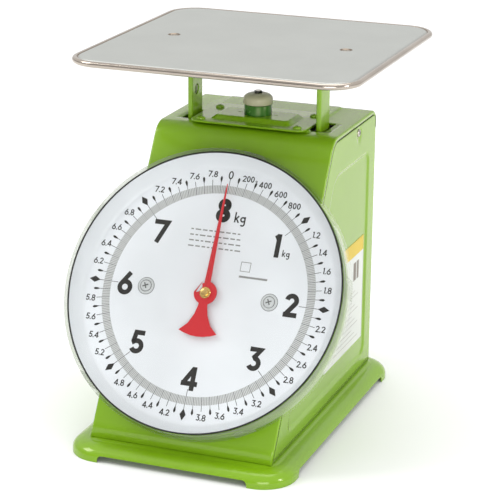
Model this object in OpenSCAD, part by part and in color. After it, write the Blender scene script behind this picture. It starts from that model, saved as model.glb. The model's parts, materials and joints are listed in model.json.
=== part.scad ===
// Mechanical dial platform scale. A square pan stands on two posts that go
// down through slots in a leaning case. Inside, two tension springs carry the
// posts, two pairs of level arms keep the pan flat, and a rack turns the
// pinion shaft of a pointer that makes one turn for the full load.
//
// The origin is the middle of the overall footprint, on the surface that the
// feet rest on. The dial faces -Y and the pan's top faces +Z.

/* [Pan] */
// Side of the square weighing pan
pan_size = 240; // [230:1:245]
// Height of the pan's top face
pan_top = 308; // [306:1:312]
// Corner radius of the pan
pan_corner_r = 27; // [20:1:32]
// How far the pan stands out behind the base
pan_overhang = 18.5; // [14:0.5:22]
// Distance between the two pan screws
pan_screw_span = 150; // [146:1:156]

/* [Base] */
// Width of the base tray
base_w = 189; // [185:1:200]
// Depth of the base tray
base_d = 285; // [280:1:290]
// Height of the deck that the case stands on
deck_z = 13.5; // [12:0.5:15]
// Height of the rim's lower edge between two feet
rim_gap = 5.7; // [4:0.1:6]
// Length of a foot along the front edge
foot_x = 31; // [28:1:36]
// Length of a foot along the side edge
foot_y = 34; // [30:1:40]

/* [Case] */
// Outer width of the case
case_w = 154.5; // [152:0.5:156]
// Outer depth of the case at its foot
case_d = 250.5; // [248:0.5:252]
// Height of the case's top face
case_top = 241.5; // [240:0.5:243]
// Angle of the front face from the vertical, in degrees
lean = 31; // [30.5:0.1:31.5]
// Outer radius of the bend between front and top
front_bend_r = 18; // [14:1:22]
// Outer radius of the bend at the back of the top
back_bend_r = 11; // [8:1:12]

/* [Dial] */
// Distance of the dial's centre up the slope from the foot of the case
dial_up = 126; // [124:0.5:128]
// Outer radius of the clear cover
cover_r = 117.8; // [116:0.1:119]
// Radius of the dial dish's rim
dish_r = 114.5; // [113:0.1:115]
// Height of the printed face above the front panel
face_h = 8.1; // [7:0.1:9]
// Height of the dish's rim above the front panel
rim_h = 19.4; // [18:0.1:20]
// Distance between the two dial screws
dial_screw_span = 105.6; // [104:0.1:108]

/* [Movement] */
// Gear module of the rack and pinion
gear_m = 0.5; // [0.5:0.01:0.5]
// Teeth on the pinion
pinion_teeth = 10; // [10:1:10]
// Travel of the pan for the full load
travel = 18.3; // [17:0.1:18.4]

/* [Hidden] */
$fn = 48;
slack = 0.05;

green = "#78A82D";
steel = "#C4C6C2";
zinc = "#9DA1A4";
brass = "#C9A14A";

// Overall placement
base_y = -pan_overhang / 2;
pan_y = (base_d + pan_overhang - pan_size) / 2;
mech_y = pan_y + 2.25;
sheet = 1.2;

// Base tray: the rim's section is a flat, a quarter ellipse and a short skirt
rim_out = (base_w - case_w) / 2;
rim_in = 6;
rim_flat = 4;
rim_skirt = 3;
notch_r = 4;

// Case
case_front_y = base_y - case_d / 2;
case_back_y = base_y + case_d / 2;
lip = 3.3;
seam = 0.3;
recess = 1.25;
plateau_h = 1.6;
plateau_hw = 48;
slot_x0 = 50;
slot_x1 = 63;
slot_y0 = mech_y - 13;
slot_y1 = mech_y + 16;
back_flange_z = case_top - 16;

// Cover plate on the top of the case
plate_w = 101;
plate_y0 = 5;
plate_y1 = 70;
plate_z = case_top + plateau_h;
plate_t = 1.6;
boss_h = 3.3;
boss_z = plate_z + plate_t + boss_h;

// Dial: the centre of its seat on the front panel
dial_cy = case_front_y + dial_up * sin(lean);
dial_cz = deck_z + dial_up * cos(lean);
dish_floor_r = 107.3;
back_dish_r = 114.5;
cover_wall = 2;
cover_h = 22.5;
cover_shoulder = 3;
cover_lugs = 5;

// Movement, measured inward from the front panel along the pinion's axis
pinion_r = gear_m * pinion_teeth / 2;
pinion_shift = 0.4;
pressure = 20;
base_r = pinion_r * cos(pressure);
tip_r = pinion_r + gear_m * (1 + pinion_shift);
root_r = pinion_r - gear_m * (1.25 - pinion_shift);
backlash = 0.1;
rack_pitch = PI * gear_m;
shaft_r = 1.5;
plate_s0 = 22.5;
plate_s1 = 44.5;
mv_plate_t = 1.5;
mv_plate_w = 60;
mv_plate_h = 44;
pillar_x = 25;
pillar_t = 18;
pillar_r = 3.5;
screw_r = 1.5;
pinion_s0 = 29;
pinion_s1 = 39;
post_hole_y = 10;
post_hole_z = 264;
tail_w = 15.1;
tail_v = 32.3;
tail_r = norm([tail_w, tail_v]);
tail_a = atan(tail_w / tail_v);
pointer_h = 12;

// Rack: a vertical bar on the +X side of the pinion
rack_x0 = pinion_r + gear_m * pinion_shift - gear_m;
rack_w = 5;
rack_y0 = dial_cy + 33 * cos(lean) - 1.5;
rack_t = 3;
rack_foot = 96;
rack_head = 160;

// Carrier: the posts and what is fixed to them
post_x = 56.3;
post_w = 4.2;
post_d = 22;
post_y0 = mech_y - 11;
post_foot = 56;
pan_skin = 1.2;
rim_tube_r = 2.5;
pan_under = pan_top - pan_skin;
bracket_t = 2;
carrier_bar_z = 84;
rack_bridge_z = 150;

// Level arms: the frame's pivots are arm_l behind the carrier's pins
arm_l = 60;
arm_y = mech_y + arm_l;
arm_rise = atan(travel / 2 / arm_l);
upper_z = 204;
lower_z = 60;
arm_x = 47.5;
arm_t = 2;
arm_slot = [-arm_l - 0.9, -arm_l + 0.2];
axle_r = 3;
pin_r = 2.5;

// Frame tower behind the posts
cheek_x = 43;
cheek_t = 2;
cheek_y0 = mech_y + 20;
cheek_y1 = case_back_y - 14.5;
cheek_arm_z = 207;
cheek_arm_y = mech_y - 16;
bridge_z = 231;
bridge_t = 2.5;
tie_r = 4;

// Springs and zero adjustment
spring_x = 24;
spring_r = 8.5;
wire_r = 1.25;
spring_turns = 11;
spring_z0 = 103;
spring_z1 = 179;
hanger_z = 189;
hanger_h = 11;
hook_r = 1.9;
hook_bar_t = 4;
zero_r = 2.5;
cup_r = 11.4;
cup_h = 8.4;
seal_turn = -115;
seal_z = 3.2;
seal_seat = 0.15;
cap_r = 12.3;
nut_h = 1.6;
cap_dome = 5;
cap_z0 = boss_z + cup_h + 0.3;
cap_z1 = cap_z0 + 8.9;

// Dashpot behind the springs
pot_y = mech_y + 36;
pot_r = 13;
pot_z0 = deck_z;
pot_z1 = deck_z + 49;

// Points on an arc about [x, y], from angle a0 to angle a1
function arc(x, y, r, a0, a1, n = 8) =
    [for (i = [0:n]) let (a = a0 + (a1 - a0) * i / n) [x + r * cos(a), y + r * sin(a)]];

// Points on a quarter ellipse about [x, y], from straight up to straight out
function quarter(x, y, rx, ry, n = 8) =
    [for (i = [0:n]) let (a = 90 * i / n) [x + rx * sin(a), y + ry * cos(a)]];

function reversed(list) = [for (i = [len(list) - 1:-1:0]) list[i]];

// The case's side view as [y, z] points, set in by a distance, and cut off
// at z0 in front and at z1 behind
function case_path(in, z0, z1) = concat(
    [[case_front_y + (z0 - deck_z) * tan(lean) + in / cos(lean), z0]],
    arc(case_front_y + (case_top - front_bend_r - deck_z) * tan(lean) + front_bend_r / cos(lean),
        case_top - front_bend_r, front_bend_r - in, 180 - lean, 90),
    arc(case_back_y - back_bend_r, case_top - back_bend_r, back_bend_r - in, 90, 0),
    [[case_back_y - in, z1]]);

// Half of a pinion tooth's width, as an angle, at radius r
function tooth_half(r) =
    let (roll = acos(min(1, base_r / r)))
    (PI / 2 + 2 * pinion_shift * tan(pressure) - backlash / gear_m) * gear_m / pinion_r * 90 / PI
        + (tan(pressure) - pressure * PI / 180 - tan(roll) + roll * PI / 180) * 180 / PI;

module rounded_rect(w, d, r) {
    x = w / 2 - r;
    y = d / 2 - r;
    polygon(concat(arc(x, y, r, 0, 90), arc(-x, y, r, 90, 180),
                   arc(-x, -y, r, 180, 270), arc(x, -y, r, 270, 360)));
}

// Extrudes a [y, z] outline along X between two values of x
module along_x(x0, x1) {
    translate([x0, 0, 0]) rotate([90, 0, 90]) linear_extrude(x1 - x0) children();
}

module box(x0, x1, y0, y1, z0, z1) {
    translate([x0, y0, z0]) cube([x1 - x0, y1 - y0, z1 - z0]);
}

// A rod along X between two values of x
module rod_x(x0, x1, y, z, r) {
    translate([x0, y, z]) rotate([0, 90, 0]) cylinder(h = x1 - x0, r = r);
}

// Places children on the front panel: local z out of the dial, local y up it
module on_dial() {
    translate([0, dial_cy, dial_cz]) rotate([90 - lean, 0, 0]) children();
}

// A ring or tube about the local z axis
module tube(r_out, r_in, z0, z1) {
    translate([0, 0, z0]) difference() {
        cylinder(h = z1 - z0, r = r_out);
        translate([0, 0, -1]) cylinder(h = z1 - z0 + 2, r = r_in);
    }
}

// A cross-recessed pan head screw along local z, its head's seat at z = 0
module pan_screw(head_r, head_h, shank_r, shank_l) {
    difference() {
        union() {
            rotate_extrude() polygon(concat([[0, 0], [head_r, 0], [head_r, head_h * 0.35]],
                [for (i = [1:5]) [head_r * cos(18 * i), head_h * (0.35 + 0.65 * sin(18 * i))]]));
            translate([0, 0, -shank_l]) cylinder(h = shank_l + 0.1, r = shank_r);
        }
        for (a = [0, 90]) {
            rotate(a) translate([-head_r * 0.55, -head_r * 0.12, head_h * 0.5])
                cube([head_r * 1.1, head_r * 0.24, head_h]);
        }
    }
}

module mirrored() {
    children();
    mirror([1, 0, 0]) children();
}

// ---------------------------------------------------------------- base

module rim_profile() {
    ex = rim_out - rim_flat;
    ey = deck_z - rim_skirt;
    polygon(concat([[-rim_in, deck_z]], quarter(rim_flat, rim_skirt, ex, ey), [[rim_out, 0]],
        [[rim_out - sheet, 0]], reversed(quarter(rim_flat, rim_skirt, ex - sheet, ey - sheet)),
        [[-rim_in, deck_z - sheet]]));
}

// One straight stretch of rim, centred, facing local +x
module rim_side(half, length) {
    translate([half - rim_out, length / 2, 0]) rotate([90, 0, 0]) linear_extrude(length) rim_profile();
}

// The gap between two feet, as a prism across the tray along local y
module foot_gap(half, length) {
    translate([0, length / 2, 0]) rotate([90, 0, 0]) linear_extrude(length)
        polygon(concat([[-half, -1], [-half, rim_gap - notch_r]],
            arc(-half + notch_r, rim_gap - notch_r, notch_r, 180, 90, 4),
            arc(half - notch_r, rim_gap - notch_r, notch_r, 90, 0, 4), [[half, -1]]));
}

module base_tray() color(green) {
    corner_x = base_w / 2 - rim_out - rim_in;
    corner_y = base_d / 2 - rim_out - rim_in;
    translate([0, base_y, 0]) difference() {
        union() {
            box(-corner_x, corner_x, -corner_y, corner_y, deck_z - sheet, deck_z);
            for (a = [0, 180]) {
                rotate(a) rim_side(base_w / 2, 2 * corner_y);
                rotate(a + 90) rim_side(base_d / 2, 2 * corner_x);
            }
            for (sx = [0, 1]) {
                for (sy = [0, 1]) {
                    mirror([sx, 0, 0]) mirror([0, sy, 0]) translate([corner_x, corner_y, 0])
                        rotate_extrude(angle = 90) translate([rim_in, 0]) rim_profile();
                }
            }
        }
        foot_gap(base_w / 2 - foot_x, base_d + 2);
        rotate(90) foot_gap(base_d / 2 - foot_y, base_w + 2);
        translate([0, -base_y, 0]) deck_holes();
    }
}

case_screw_at = [[58, case_front_y + 10], [58, case_back_y - 7], [67, -40], [67, 50]];
frame_screw_at = [[cheek_x - 8, cheek_y0 + 8], [cheek_x - 8, cheek_y1 - 8]];

module at_both_sides(places) {
    for (p = places) {
        for (side = [-1, 1]) {
            translate([side * p[0], p[1], 0]) children();
        }
    }
}

module deck_holes() {
    at_both_sides(concat(case_screw_at, frame_screw_at)) cylinder(h = 30, r = screw_r + 0.2);
}

// A screw up through the deck, its head below it
module deck_screw() {
    translate([0, 0, deck_z - sheet]) mirror([0, 0, 1]) pan_screw(3.2, 2, screw_r, 6);
}

module case_screws() color(zinc) at_both_sides(case_screw_at) deck_screw();
module frame_screws() color(zinc) at_both_sides(frame_screw_at) deck_screw();

// ---------------------------------------------------------------- case

// One sheet: front, top and the turned-down flange at the back
module case_front() color(green) {
    difference() {
        union() {
            along_x(-case_w / 2, case_w / 2)
                polygon(concat(case_path(0, deck_z, back_flange_z),
                               reversed(case_path(sheet, deck_z, back_flange_z))));
            mirrored() along_x(case_w / 2 - sheet, case_w / 2) case_lip();
            box(-64, 64, case_front_y + 2, case_front_y + 16, deck_z, deck_z + sheet);
            top_plateau();
            mirrored() box(73.3, 74.6, 60, 77, case_top - 18, case_top - sheet / 2);
        }
        on_dial() cylinder(h = 10, r = 5, center = true);
        on_dial() mirrored() translate([dial_screw_span / 2, 0, 0]) cylinder(h = 10, r = 2.1, center = true);
        on_dial() pillar_places() cylinder(h = 10, r = screw_r + 0.05, center = true);
        mirrored() box(slot_x0, slot_x1, slot_y0, slot_y1, case_top - 5, case_top + 5);
        translate([0, mech_y, case_top - 5]) cylinder(h = 10, r = 4);
        mirrored() rod_x(70, 80, 68.5, case_top - 10.5, 1.9);
        cover_screw_places() cylinder(h = 20, r = 1.5, center = true);
        deck_holes();
    }
}

// The lip turned onto the side, along the front and the top
module case_lip() {
    outer = case_path(0, deck_z, back_flange_z);
    inner = case_path(lip, deck_z, back_flange_z);
    last = 9;
    polygon(concat([for (i = [0:last]) outer[i]], [[case_back_y - back_bend_r, case_top]],
                   [[case_back_y - back_bend_r, case_top - lip]],
                   [for (i = [last:-1:0]) inner[i]]));
}

// The embossed step on the top that the cover plate is screwed to
module top_plateau() {
    box(-plateau_hw, plateau_hw, plate_y0 + 9, case_back_y - 13, case_top - sheet, case_top + plateau_h);
}

// The side panel's outline: inside the lip in front and on top, and out to
// the back edge behind
module side_outline(in) {
    front = case_path(in, deck_z, back_flange_z);
    polygon(concat([for (i = [0:9]) front[i]], [[case_back_y - back_bend_r - 2, case_top - in]],
        arc(case_back_y - back_bend_r, case_top - back_bend_r, back_bend_r - sheet - 0.1, 84, 0, 6),
        [[case_back_y - sheet - 0.1, deck_z]]));
}

// The sunk field in the side panel, grown by a distance
module side_field(grow) {
    z0 = 27 - grow;
    z1 = 208 + grow;
    y_back = case_back_y - 18 + grow;
    front = 27 - grow / cos(lean);
    polygon([[case_front_y + (z0 - deck_z) * tan(lean) + front, z0], [y_back, z0], [y_back, z1 - 8],
             [y_back - 8, z1], [case_front_y + (z1 - deck_z) * tan(lean) + front, z1]]);
}

module side_panel() color(green) {
    outer = case_w / 2;
    difference() {
        union() {
            along_x(outer - recess, outer) difference() {
                side_outline(lip + seam);
                side_field(0);
            }
            along_x(outer - 2 * recess, outer - recess) side_field(recess);
            box(outer - 2 * recess - 12, outer - recess, -90, 90, deck_z, deck_z + sheet);
            along_x(outer - 2 * recess, outer - recess) difference() {
                side_outline(sheet + 0.3);
                side_outline(lip + 6);
            }
        }
        rod_x(70, 80, 68.5, case_top - 10.5, 1.9);
        deck_holes();
    }
}

module side_panel_right() side_panel();
module side_panel_left() mirror([1, 0, 0]) side_panel();

module back_panel() color(green) {
    difference() {
        union() {
            box(-case_w / 2 + 3, case_w / 2 - 3, case_back_y - sheet, case_back_y, deck_z, back_flange_z - 0.3);
            box(-64, 64, case_back_y - 13, case_back_y - sheet, deck_z, deck_z + sheet);
        }
        deck_holes();
    }
}

module side_screws() color(steel) {
    mirrored() translate([case_w / 2, 68.5, case_top - 10.5]) rotate([0, 90, 0]) pan_screw(3.6, 1.6, 1.7, 6);
}

// A blank maker's-plate sticker in the sunk field of the right side
module side_label() color("#F4F4EE") {
    box(case_w / 2 - recess, case_w / 2 - recess + 0.2, -8, 92, 43, 136);
}

// Where the cover plate's four screws stand, on top of the plate
module cover_screw_places() {
    for (p = [[-42, 12.5], [42, 12.5], [-42, 55], [42, 55]]) {
        translate([p[0], p[1], plate_z + plate_t]) children();
    }
}

module top_cover_plate() color(green) {
    mid = (plate_y0 + plate_y1) / 2;
    difference() {
        union() {
            translate([0, mid, plate_z]) linear_extrude(plate_t)
                rounded_rect(plate_w, plate_y1 - plate_y0, 9);
            hull() {
                box(-35, 35, 15, 51, plate_z + plate_t - 0.2, plate_z + plate_t);
                box(-31, 31, 19, 47, boss_z - 0.2, boss_z);
            }
        }
        translate([0, mech_y, plate_z - 1]) cylinder(h = 10, r = 4);
        cover_screw_places() cylinder(h = 10, r = 1.6, center = true);
        for (x = [-15.5, 15.5]) {
            box(x - 2, x + 2, mech_y - 0.6, mech_y + 0.6, boss_z - 1, boss_z + 1);
        }
    }
}

module cover_screws() color(green) cover_screw_places() pan_screw(3.7, 2.2, 1.45, 6);

// ---------------------------------------------------------------- dial

module dial_back_plate() color(green) on_dial() {
    difference() {
        union() {
            cylinder(h = sheet, r = back_dish_r);
            tube(back_dish_r, back_dish_r - sheet, 0, 6.5);
        }
        translate([0, 0, -1]) cylinder(h = 4, r = 5);
        mirrored() translate([dial_screw_span / 2, 0, -1]) cylinder(h = 4, r = 2.1);
        pillar_places() cylinder(h = 10, r = 3.2, center = true);
    }
}

module dial_standoffs() color(zinc) on_dial() {
    mirrored() translate([dial_screw_span / 2, 0, 0]) tube(5, 2.1, sheet, face_h - 0.8);
}

// The printed plate: a flat face and a flared wall up to the rim
module dial_plate() color("#EEF2F4") on_dial() {
    difference() {
        rotate_extrude($fn = 96) polygon([
            [0, face_h - 0.8], [dish_floor_r, face_h - 0.8], [dish_r - 0.2, rim_h],
            [dish_r - 1, rim_h], [dish_floor_r - 0.5, face_h], [0, face_h]]);
        translate([0, 0, 5]) cylinder(h = 5, r = 5);
        mirrored() translate([dial_screw_span / 2, 0, 5]) cylinder(h = 5, r = 2.1);
    }
}

module dial_screws() color("#9AA0A2") on_dial() {
    mirrored() translate([dial_screw_span / 2, 0, face_h]) pan_screw(5.4, 2.2, 2, 16);
}

module dial_seal_ring() color("#1B1D1A") on_dial() tube(cover_r - cover_wall - 0.6, dish_r - 1.4, rim_h, rim_h + 0.8);

// The clear cover: a straight wall, a rounded shoulder and a shallow dome
module dial_cover() color("#CFE0D8", 0.35) on_dial() {
    shoulder_z = cover_h - cover_shoulder;
    inner_r = cover_shoulder - cover_wall;
    difference() {
        union() {
            rotate_extrude($fn = 96) polygon(concat(
                [[cover_r - cover_wall, 0.3], [cover_r, 0.3]],
                arc(cover_r - cover_shoulder, shoulder_z, cover_shoulder, 0, 80),
                [[60, cover_h + 0.5], [0, cover_h + 0.7], [0, cover_h - 1.3], [60, cover_h - 1.5]],
                reversed(arc(cover_r - cover_shoulder, shoulder_z, inner_r, 0, 80))));
            for (i = [0:cover_lugs - 1]) {
                rotate(81 - 72 * i) translate([cover_r - 1, -7, 0.3]) cube([1.6, 14, 2.4]);
            }
        }
        translate([0, 0, -2]) cylinder(h = 2, r = cover_r + 3);
    }
}

// The pointer: a tapered needle, a round hub and a flared tail
module pointer() color("#D43A3F") on_dial() translate([0, 0, pointer_h]) {
    difference() {
        union() {
            linear_extrude(0.8) polygon([[-2.6, 0], [-0.35, 90.5], [0.35, 90.5], [2.6, 0]]);
            cylinder(h = 2, r = 9.6);
            linear_extrude(0.8) polygon(concat([[-4.2, -8], [-4.6, -13], [-8, -22], [-tail_w, -tail_v]],
                [for (i = [1:7]) let (a = tail_a - tail_a / 4 * i) [-tail_r * sin(a), -tail_r * cos(a)]],
                [[tail_w, -tail_v], [8, -22], [4.6, -13], [4.2, -8]]));
        }
        translate([0, 0, -1]) cylinder(h = 5, r = shaft_r + 0.02);
    }
}

module pointer_boss() color(brass) on_dial() tube(3.4, shaft_r + 0.02, pointer_h + 2, pointer_h + 4.5);

// ---------------------------------------------------------------- movement

module pillar_places() {
    for (x = [-pillar_x, pillar_x]) {
        for (y = [-pillar_t, pillar_t]) {
            translate([x, y, 0]) children();
        }
    }
}

module movement_plate(s, slot_dir) {
    difference() {
        translate([0, 0, -s - mv_plate_t]) linear_extrude(mv_plate_t) rounded_rect(mv_plate_w, mv_plate_h, 4);
        translate([0, 0, -s - 5]) cylinder(h = 10, r = shaft_r + slack);
        translate([6.5, slot_dir * 17, -s]) cube([13, 20, 10], center = true);
        pillar_places() translate([0, 0, -s - 5]) cylinder(h = 10, r = screw_r + slack);
    }
}

module movement_front_plate() color(brass) on_dial() movement_plate(plate_s0, 1);
module movement_rear_plate() color(brass) on_dial() movement_plate(plate_s1, -1);

// Two sleeves on each of the four long screws
module movement_pillars() color(zinc) on_dial() pillar_places() {
    tube(pillar_r, screw_r + slack, -plate_s0, -sheet);
    tube(pillar_r, screw_r + slack, -plate_s1, -plate_s0 - mv_plate_t);
}

module movement_screws() color(zinc) on_dial() pillar_places()
    translate([0, 0, -plate_s1 - mv_plate_t]) mirror([0, 0, 1]) pan_screw(3.2, 2, screw_r, plate_s1 + mv_plate_t - 0.3);

module pinion_shaft() color(steel) on_dial() {
    translate([0, 0, -plate_s1 - 4]) cylinder(h = plate_s1 + 4 + pointer_h + 5, r = shaft_r);
}

module pinion() color(brass) on_dial() {
    radii = [for (i = [0:4]) base_r + (tip_r - base_r) * i / 4];
    difference() {
        translate([0, 0, -pinion_s1]) linear_extrude(pinion_s1 - pinion_s0) polygon([
            for (k = [0:pinion_teeth - 1]) let (mid = 360 * k / pinion_teeth)
                each concat(
                    [let (a = mid - tooth_half(base_r)) root_r * [cos(a), sin(a)]],
                    [for (r = radii) let (a = mid - tooth_half(r)) r * [cos(a), sin(a)]],
                    [for (r = reversed(radii)) let (a = mid + tooth_half(r)) r * [cos(a), sin(a)]],
                    [let (a = mid + tooth_half(base_r)) root_r * [cos(a), sin(a)]])]);
        translate([0, 0, -pinion_s1 - 1]) cylinder(h = pinion_s1 - pinion_s0 + 2, r = shaft_r + 0.02);
    }
}

// A tooth gap of the rack, as a prism along the pinion's axis
module rack_gap() {
    depth = gear_m * 2.25 + 0.1;
    half_tip = (rack_pitch / 2 + backlash) / 2 + gear_m * tan(pressure);
    half_root = half_tip - depth * tan(pressure);
    translate([0, 0, -48]) linear_extrude(30)
        polygon([[rack_x0 - 0.01, -half_tip], [rack_x0 + depth, -half_root],
                 [rack_x0 + depth, half_root], [rack_x0 - 0.01, half_tip]]);
}

module rack() color(steel) {
    gaps = ceil((travel + 6) * cos(lean) / rack_pitch);
    difference() {
        box(rack_x0, rack_x0 + rack_w, rack_y0, rack_y0 + rack_t, rack_foot, rack_head);
        for (i = [-2:gaps - 2]) {
            translate([0, dial_cy, dial_cz + i * rack_pitch / cos(lean)]) rotate([90 - lean, 0, 0]) rack_gap();
        }
    }
}

module rack_arm() color(zinc) {
    x0 = rack_x0 + rack_w;
    box(x0, x0 + 2, rack_y0, post_y0 - 3, rack_bridge_z, rack_bridge_z + 10);
}

module rack_bridge() color(zinc) {
    box(-post_x - post_w / 2, post_x + post_w / 2, post_y0 - 3, post_y0, rack_bridge_z, rack_bridge_z + 10);
}

// ---------------------------------------------------------------- frame

module frame_cheek() color(zinc) {
    difference() {
        union() {
            box(cheek_x - cheek_t, cheek_x, cheek_y0, cheek_y1, deck_z, bridge_z);
            box(cheek_x - cheek_t, cheek_x, cheek_arm_y, cheek_y1, cheek_arm_z, bridge_z);
            box(cheek_x - 16, cheek_x, cheek_y0, cheek_y1, deck_z, deck_z + cheek_t);
        }
        rod_x(0, 60, arm_y, upper_z, axle_r + slack);
        rod_x(0, 60, arm_y, lower_z, axle_r + slack);
        deck_holes();
    }
}

module frame_cheek_right() frame_cheek();
module frame_cheek_left() mirror([1, 0, 0]) frame_cheek();

module frame_bridge() color(zinc) {
    difference() {
        box(-cheek_x, cheek_x, cheek_arm_y, cheek_y1, bridge_z, bridge_z + bridge_t);
        translate([0, mech_y, bridge_z - 1]) cylinder(h = 10, r = 4.5);
    }
}

module frame_tie_bars() color(steel) {
    inner = cheek_x - cheek_t;
    for (p = [[cheek_y0 + 8, 216], [cheek_y0 + 8, 130], [cheek_y1 - 6, 130]]) {
        rod_x(-inner, inner, p[0], p[1], tie_r);
    }
}

module zero_bushing() color(brass) translate([0, mech_y, 0]) {
    tube(4.5, zero_r + slack, bridge_z, bridge_z + bridge_t);
    tube(7, zero_r + slack, bridge_z + bridge_t, bridge_z + bridge_t + 1.5);
}

// ---------------------------------------------------------------- zero knob

module knob_cup() color(green) translate([0, mech_y, boss_z]) {
    difference() {
        cylinder(h = cup_h, r = cup_r);
        translate([0, 0, sheet]) cylinder(h = cup_h, r = cup_r - sheet);
        translate([0, 0, -1]) cylinder(h = 4, r = 4);
        rotate(seal_turn) translate([cup_r - 3, 0, seal_z]) rotate([0, 90, 0]) cylinder(h = 5, r = 1.55);
        rotate(seal_turn) translate([cup_r - seal_seat, 0, seal_z]) rotate([0, 90, 0]) cylinder(h = 5, r = 2.95);
    }
}

module knob_seal_screw() color(green) translate([0, mech_y, boss_z + seal_z]) rotate(seal_turn)
    translate([cup_r - seal_seat, 0, 0]) rotate([0, 90, 0]) pan_screw(2.9, 1.6, 1.5, 3);

module zero_knob_cap() color("#E4DFC8") translate([0, mech_y, 0]) {
    difference() {
        rotate_extrude() polygon(concat([[0, cap_z0], [cap_r - 0.8, cap_z0], [cap_r, cap_z0 + 0.8],
            [cap_r, cap_z1 - cap_dome]], [for (i = [1:8])
                [4 + (cap_r - 4) * cos(11.25 * i), cap_z1 - cap_dome + cap_dome * sin(11.25 * i)]],
            [[0, cap_z1]]));
        translate([0, 0, cap_z0 - 1]) cylinder(h = 20, r = zero_r + 0.02);
    }
}

module zero_knob_nut() color("#3A3A30") translate([0, mech_y, 0])
    difference() {
        translate([0, 0, cap_z1]) cylinder(h = nut_h, r = 3.4, $fn = 6);
        translate([0, 0, cap_z1 - 1]) cylinder(h = 5, r = zero_r + 0.02);
    }

module zero_screw() color(steel) translate([0, mech_y, 0]) {
    translate([0, 0, hanger_z - 6]) cylinder(h = cap_z1 + nut_h + 0.6 - hanger_z + 6, r = zero_r);
    translate([0, 0, bridge_z + bridge_t + 1.6]) cylinder(h = 2, r = 5);
}

module spring_hanger() color(zinc) {
    difference() {
        union() {
            box(-spring_x - 8, spring_x + 8, mech_y - hook_bar_t / 2, mech_y + hook_bar_t / 2,
                hanger_z, hanger_z + hanger_h);
            translate([0, mech_y, hanger_z]) cylinder(h = hanger_h, r = 6);
        }
        translate([0, mech_y, hanger_z - 1]) cylinder(h = hanger_h + 2, r = zero_r + slack);
        mirrored() translate([spring_x, mech_y - 5, hook_high]) rotate([-90, 0, 0]) cylinder(h = 10, r = hook_r);
    }
}

// ---------------------------------------------------------------- springs

hook_low = carrier_bar_z + 2.4;
hook_high = hanger_z + 4;

// One hook and the lead to its coil, up from z for dir = 1 and down for -1
function hook_path(z, dir, coil_z) =
    [[0, -3.7, z + 3 * dir], [0, -3.7, z + 1.2 * dir], [0, -2.6, z], [0, 0, z - 0.2 * dir], [0, 2.6, z],
     [0, 3.7, z + 1.2 * dir], [0, 3.7, z + 4 * dir], [0, 2.5, coil_z - 6 * dir],
     [spring_r * 0.7, 1, coil_z - 2.8 * dir]];

// The path of a main spring: a hook, the coils and a second hook
function spring_path() =
    let (steps = 12, n = spring_turns * steps, rise = (spring_z1 - spring_z0) / n)
    concat(hook_path(hook_low, 1, spring_z0),
        [for (i = [0:n]) [spring_r * cos(30 * i), spring_r * sin(30 * i), spring_z0 + rise * i]],
        reversed(hook_path(hook_high, -1, spring_z1)));

function unit(v) = v / norm(v);

// A round wire swept along a path as one closed polyhedron
module wire(path, r, sides = 6) {
    last = len(path) - 1;
    ahead = [for (i = [0:last]) unit(path[min(i + 1, last)] - path[max(i - 1, 0)])];
    side = [for (d = ahead) unit(cross(d, abs(d[2]) > 0.9 ? [0, 1, 0] : [0, 0, 1]))];
    rings = [for (i = [0:last]) let (u = side[i], v = cross(ahead[i], u))
        for (k = [0:sides - 1]) path[i] + r * (u * cos(360 * k / sides) + v * sin(360 * k / sides))];
    walls = [for (i = [0:last - 1]) for (k = [0:sides - 1]) for (half = [0, 1])
        let (j = (k + 1) % sides, a = i * sides + k, b = i * sides + j)
        half == 0 ? [a, b, b + sides] : [a, b + sides, a + sides]];
    polyhedron(rings, concat([[for (k = [sides - 1:-1:0]) k]], walls, [[for (k = [0:sides - 1]) last * sides + k]]));
}

module main_spring(x) color("#8A8E91") translate([x, mech_y, 0]) wire(spring_path(), wire_r);
module main_spring_left() main_spring(-spring_x);
module main_spring_right() main_spring(spring_x);

// ---------------------------------------------------------------- carrier

// The bar that the springs pull on, between the two posts
module carrier_bar() color(zinc) {
    inner = post_x - post_w / 2;
    difference() {
        box(-inner, inner, mech_y - hook_bar_t / 2, mech_y + hook_bar_t / 2, carrier_bar_z - 6, carrier_bar_z + 6);
        mirrored() translate([spring_x, mech_y - 5, hook_low]) rotate([-90, 0, 0]) cylinder(h = 10, r = hook_r);
    }
}

// A channel folded from sheet, open to the back, with bores for the pins
module post() {
    x0 = post_x - post_w / 2;
    x1 = post_x + post_w / 2;
    difference() {
        box(x0, x1, post_y0, post_y0 + post_d, post_foot, pan_under - bracket_t);
        box(x0 + sheet, x1 - sheet, post_y0 + sheet, post_y0 + post_d + 1, post_foot - 1, pan_top);
        for (z = [upper_z, lower_z]) {
            rod_x(x0 - 1, x1 + 1, mech_y, z + travel / 2, pin_r + 0.02);
        }
        rod_x(x0 - 1, x0 + sheet + 0.2, post_y0 + post_hole_y, post_hole_z, 4.5);
    }
}

module post_left() color(green) mirror([1, 0, 0]) post();
module post_right() color(green) post();

module pivot_pins() color(steel) mirrored() {
    for (z = [upper_z, lower_z]) {
        rod_x(arm_x - 2, post_x + post_w / 2 + 1, mech_y, z + travel / 2, pin_r);
    }
}

module pan_bracket() color(zinc) {
    difference() {
        translate([0, mech_y, pan_under - bracket_t]) linear_extrude(bracket_t) rounded_rect(176, 38, 8);
        pan_screw_places() countersink(0.05);
    }
}

// A countersunk head and its shank below local z = 0, grown by a gap
module countersink(gap, shank_l = 12) {
    rotate_extrude() polygon([[0, 0], [4.2 + gap, 0], [4.2 + gap, -0.3], [2 + gap, -2.5],
                              [2 + gap, -shank_l], [0, -shank_l]]);
}

module pan_screw_places() {
    for (x = [-pan_screw_span / 2, pan_screw_span / 2]) {
        translate([x, mech_y, pan_top]) children();
    }
}

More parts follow.
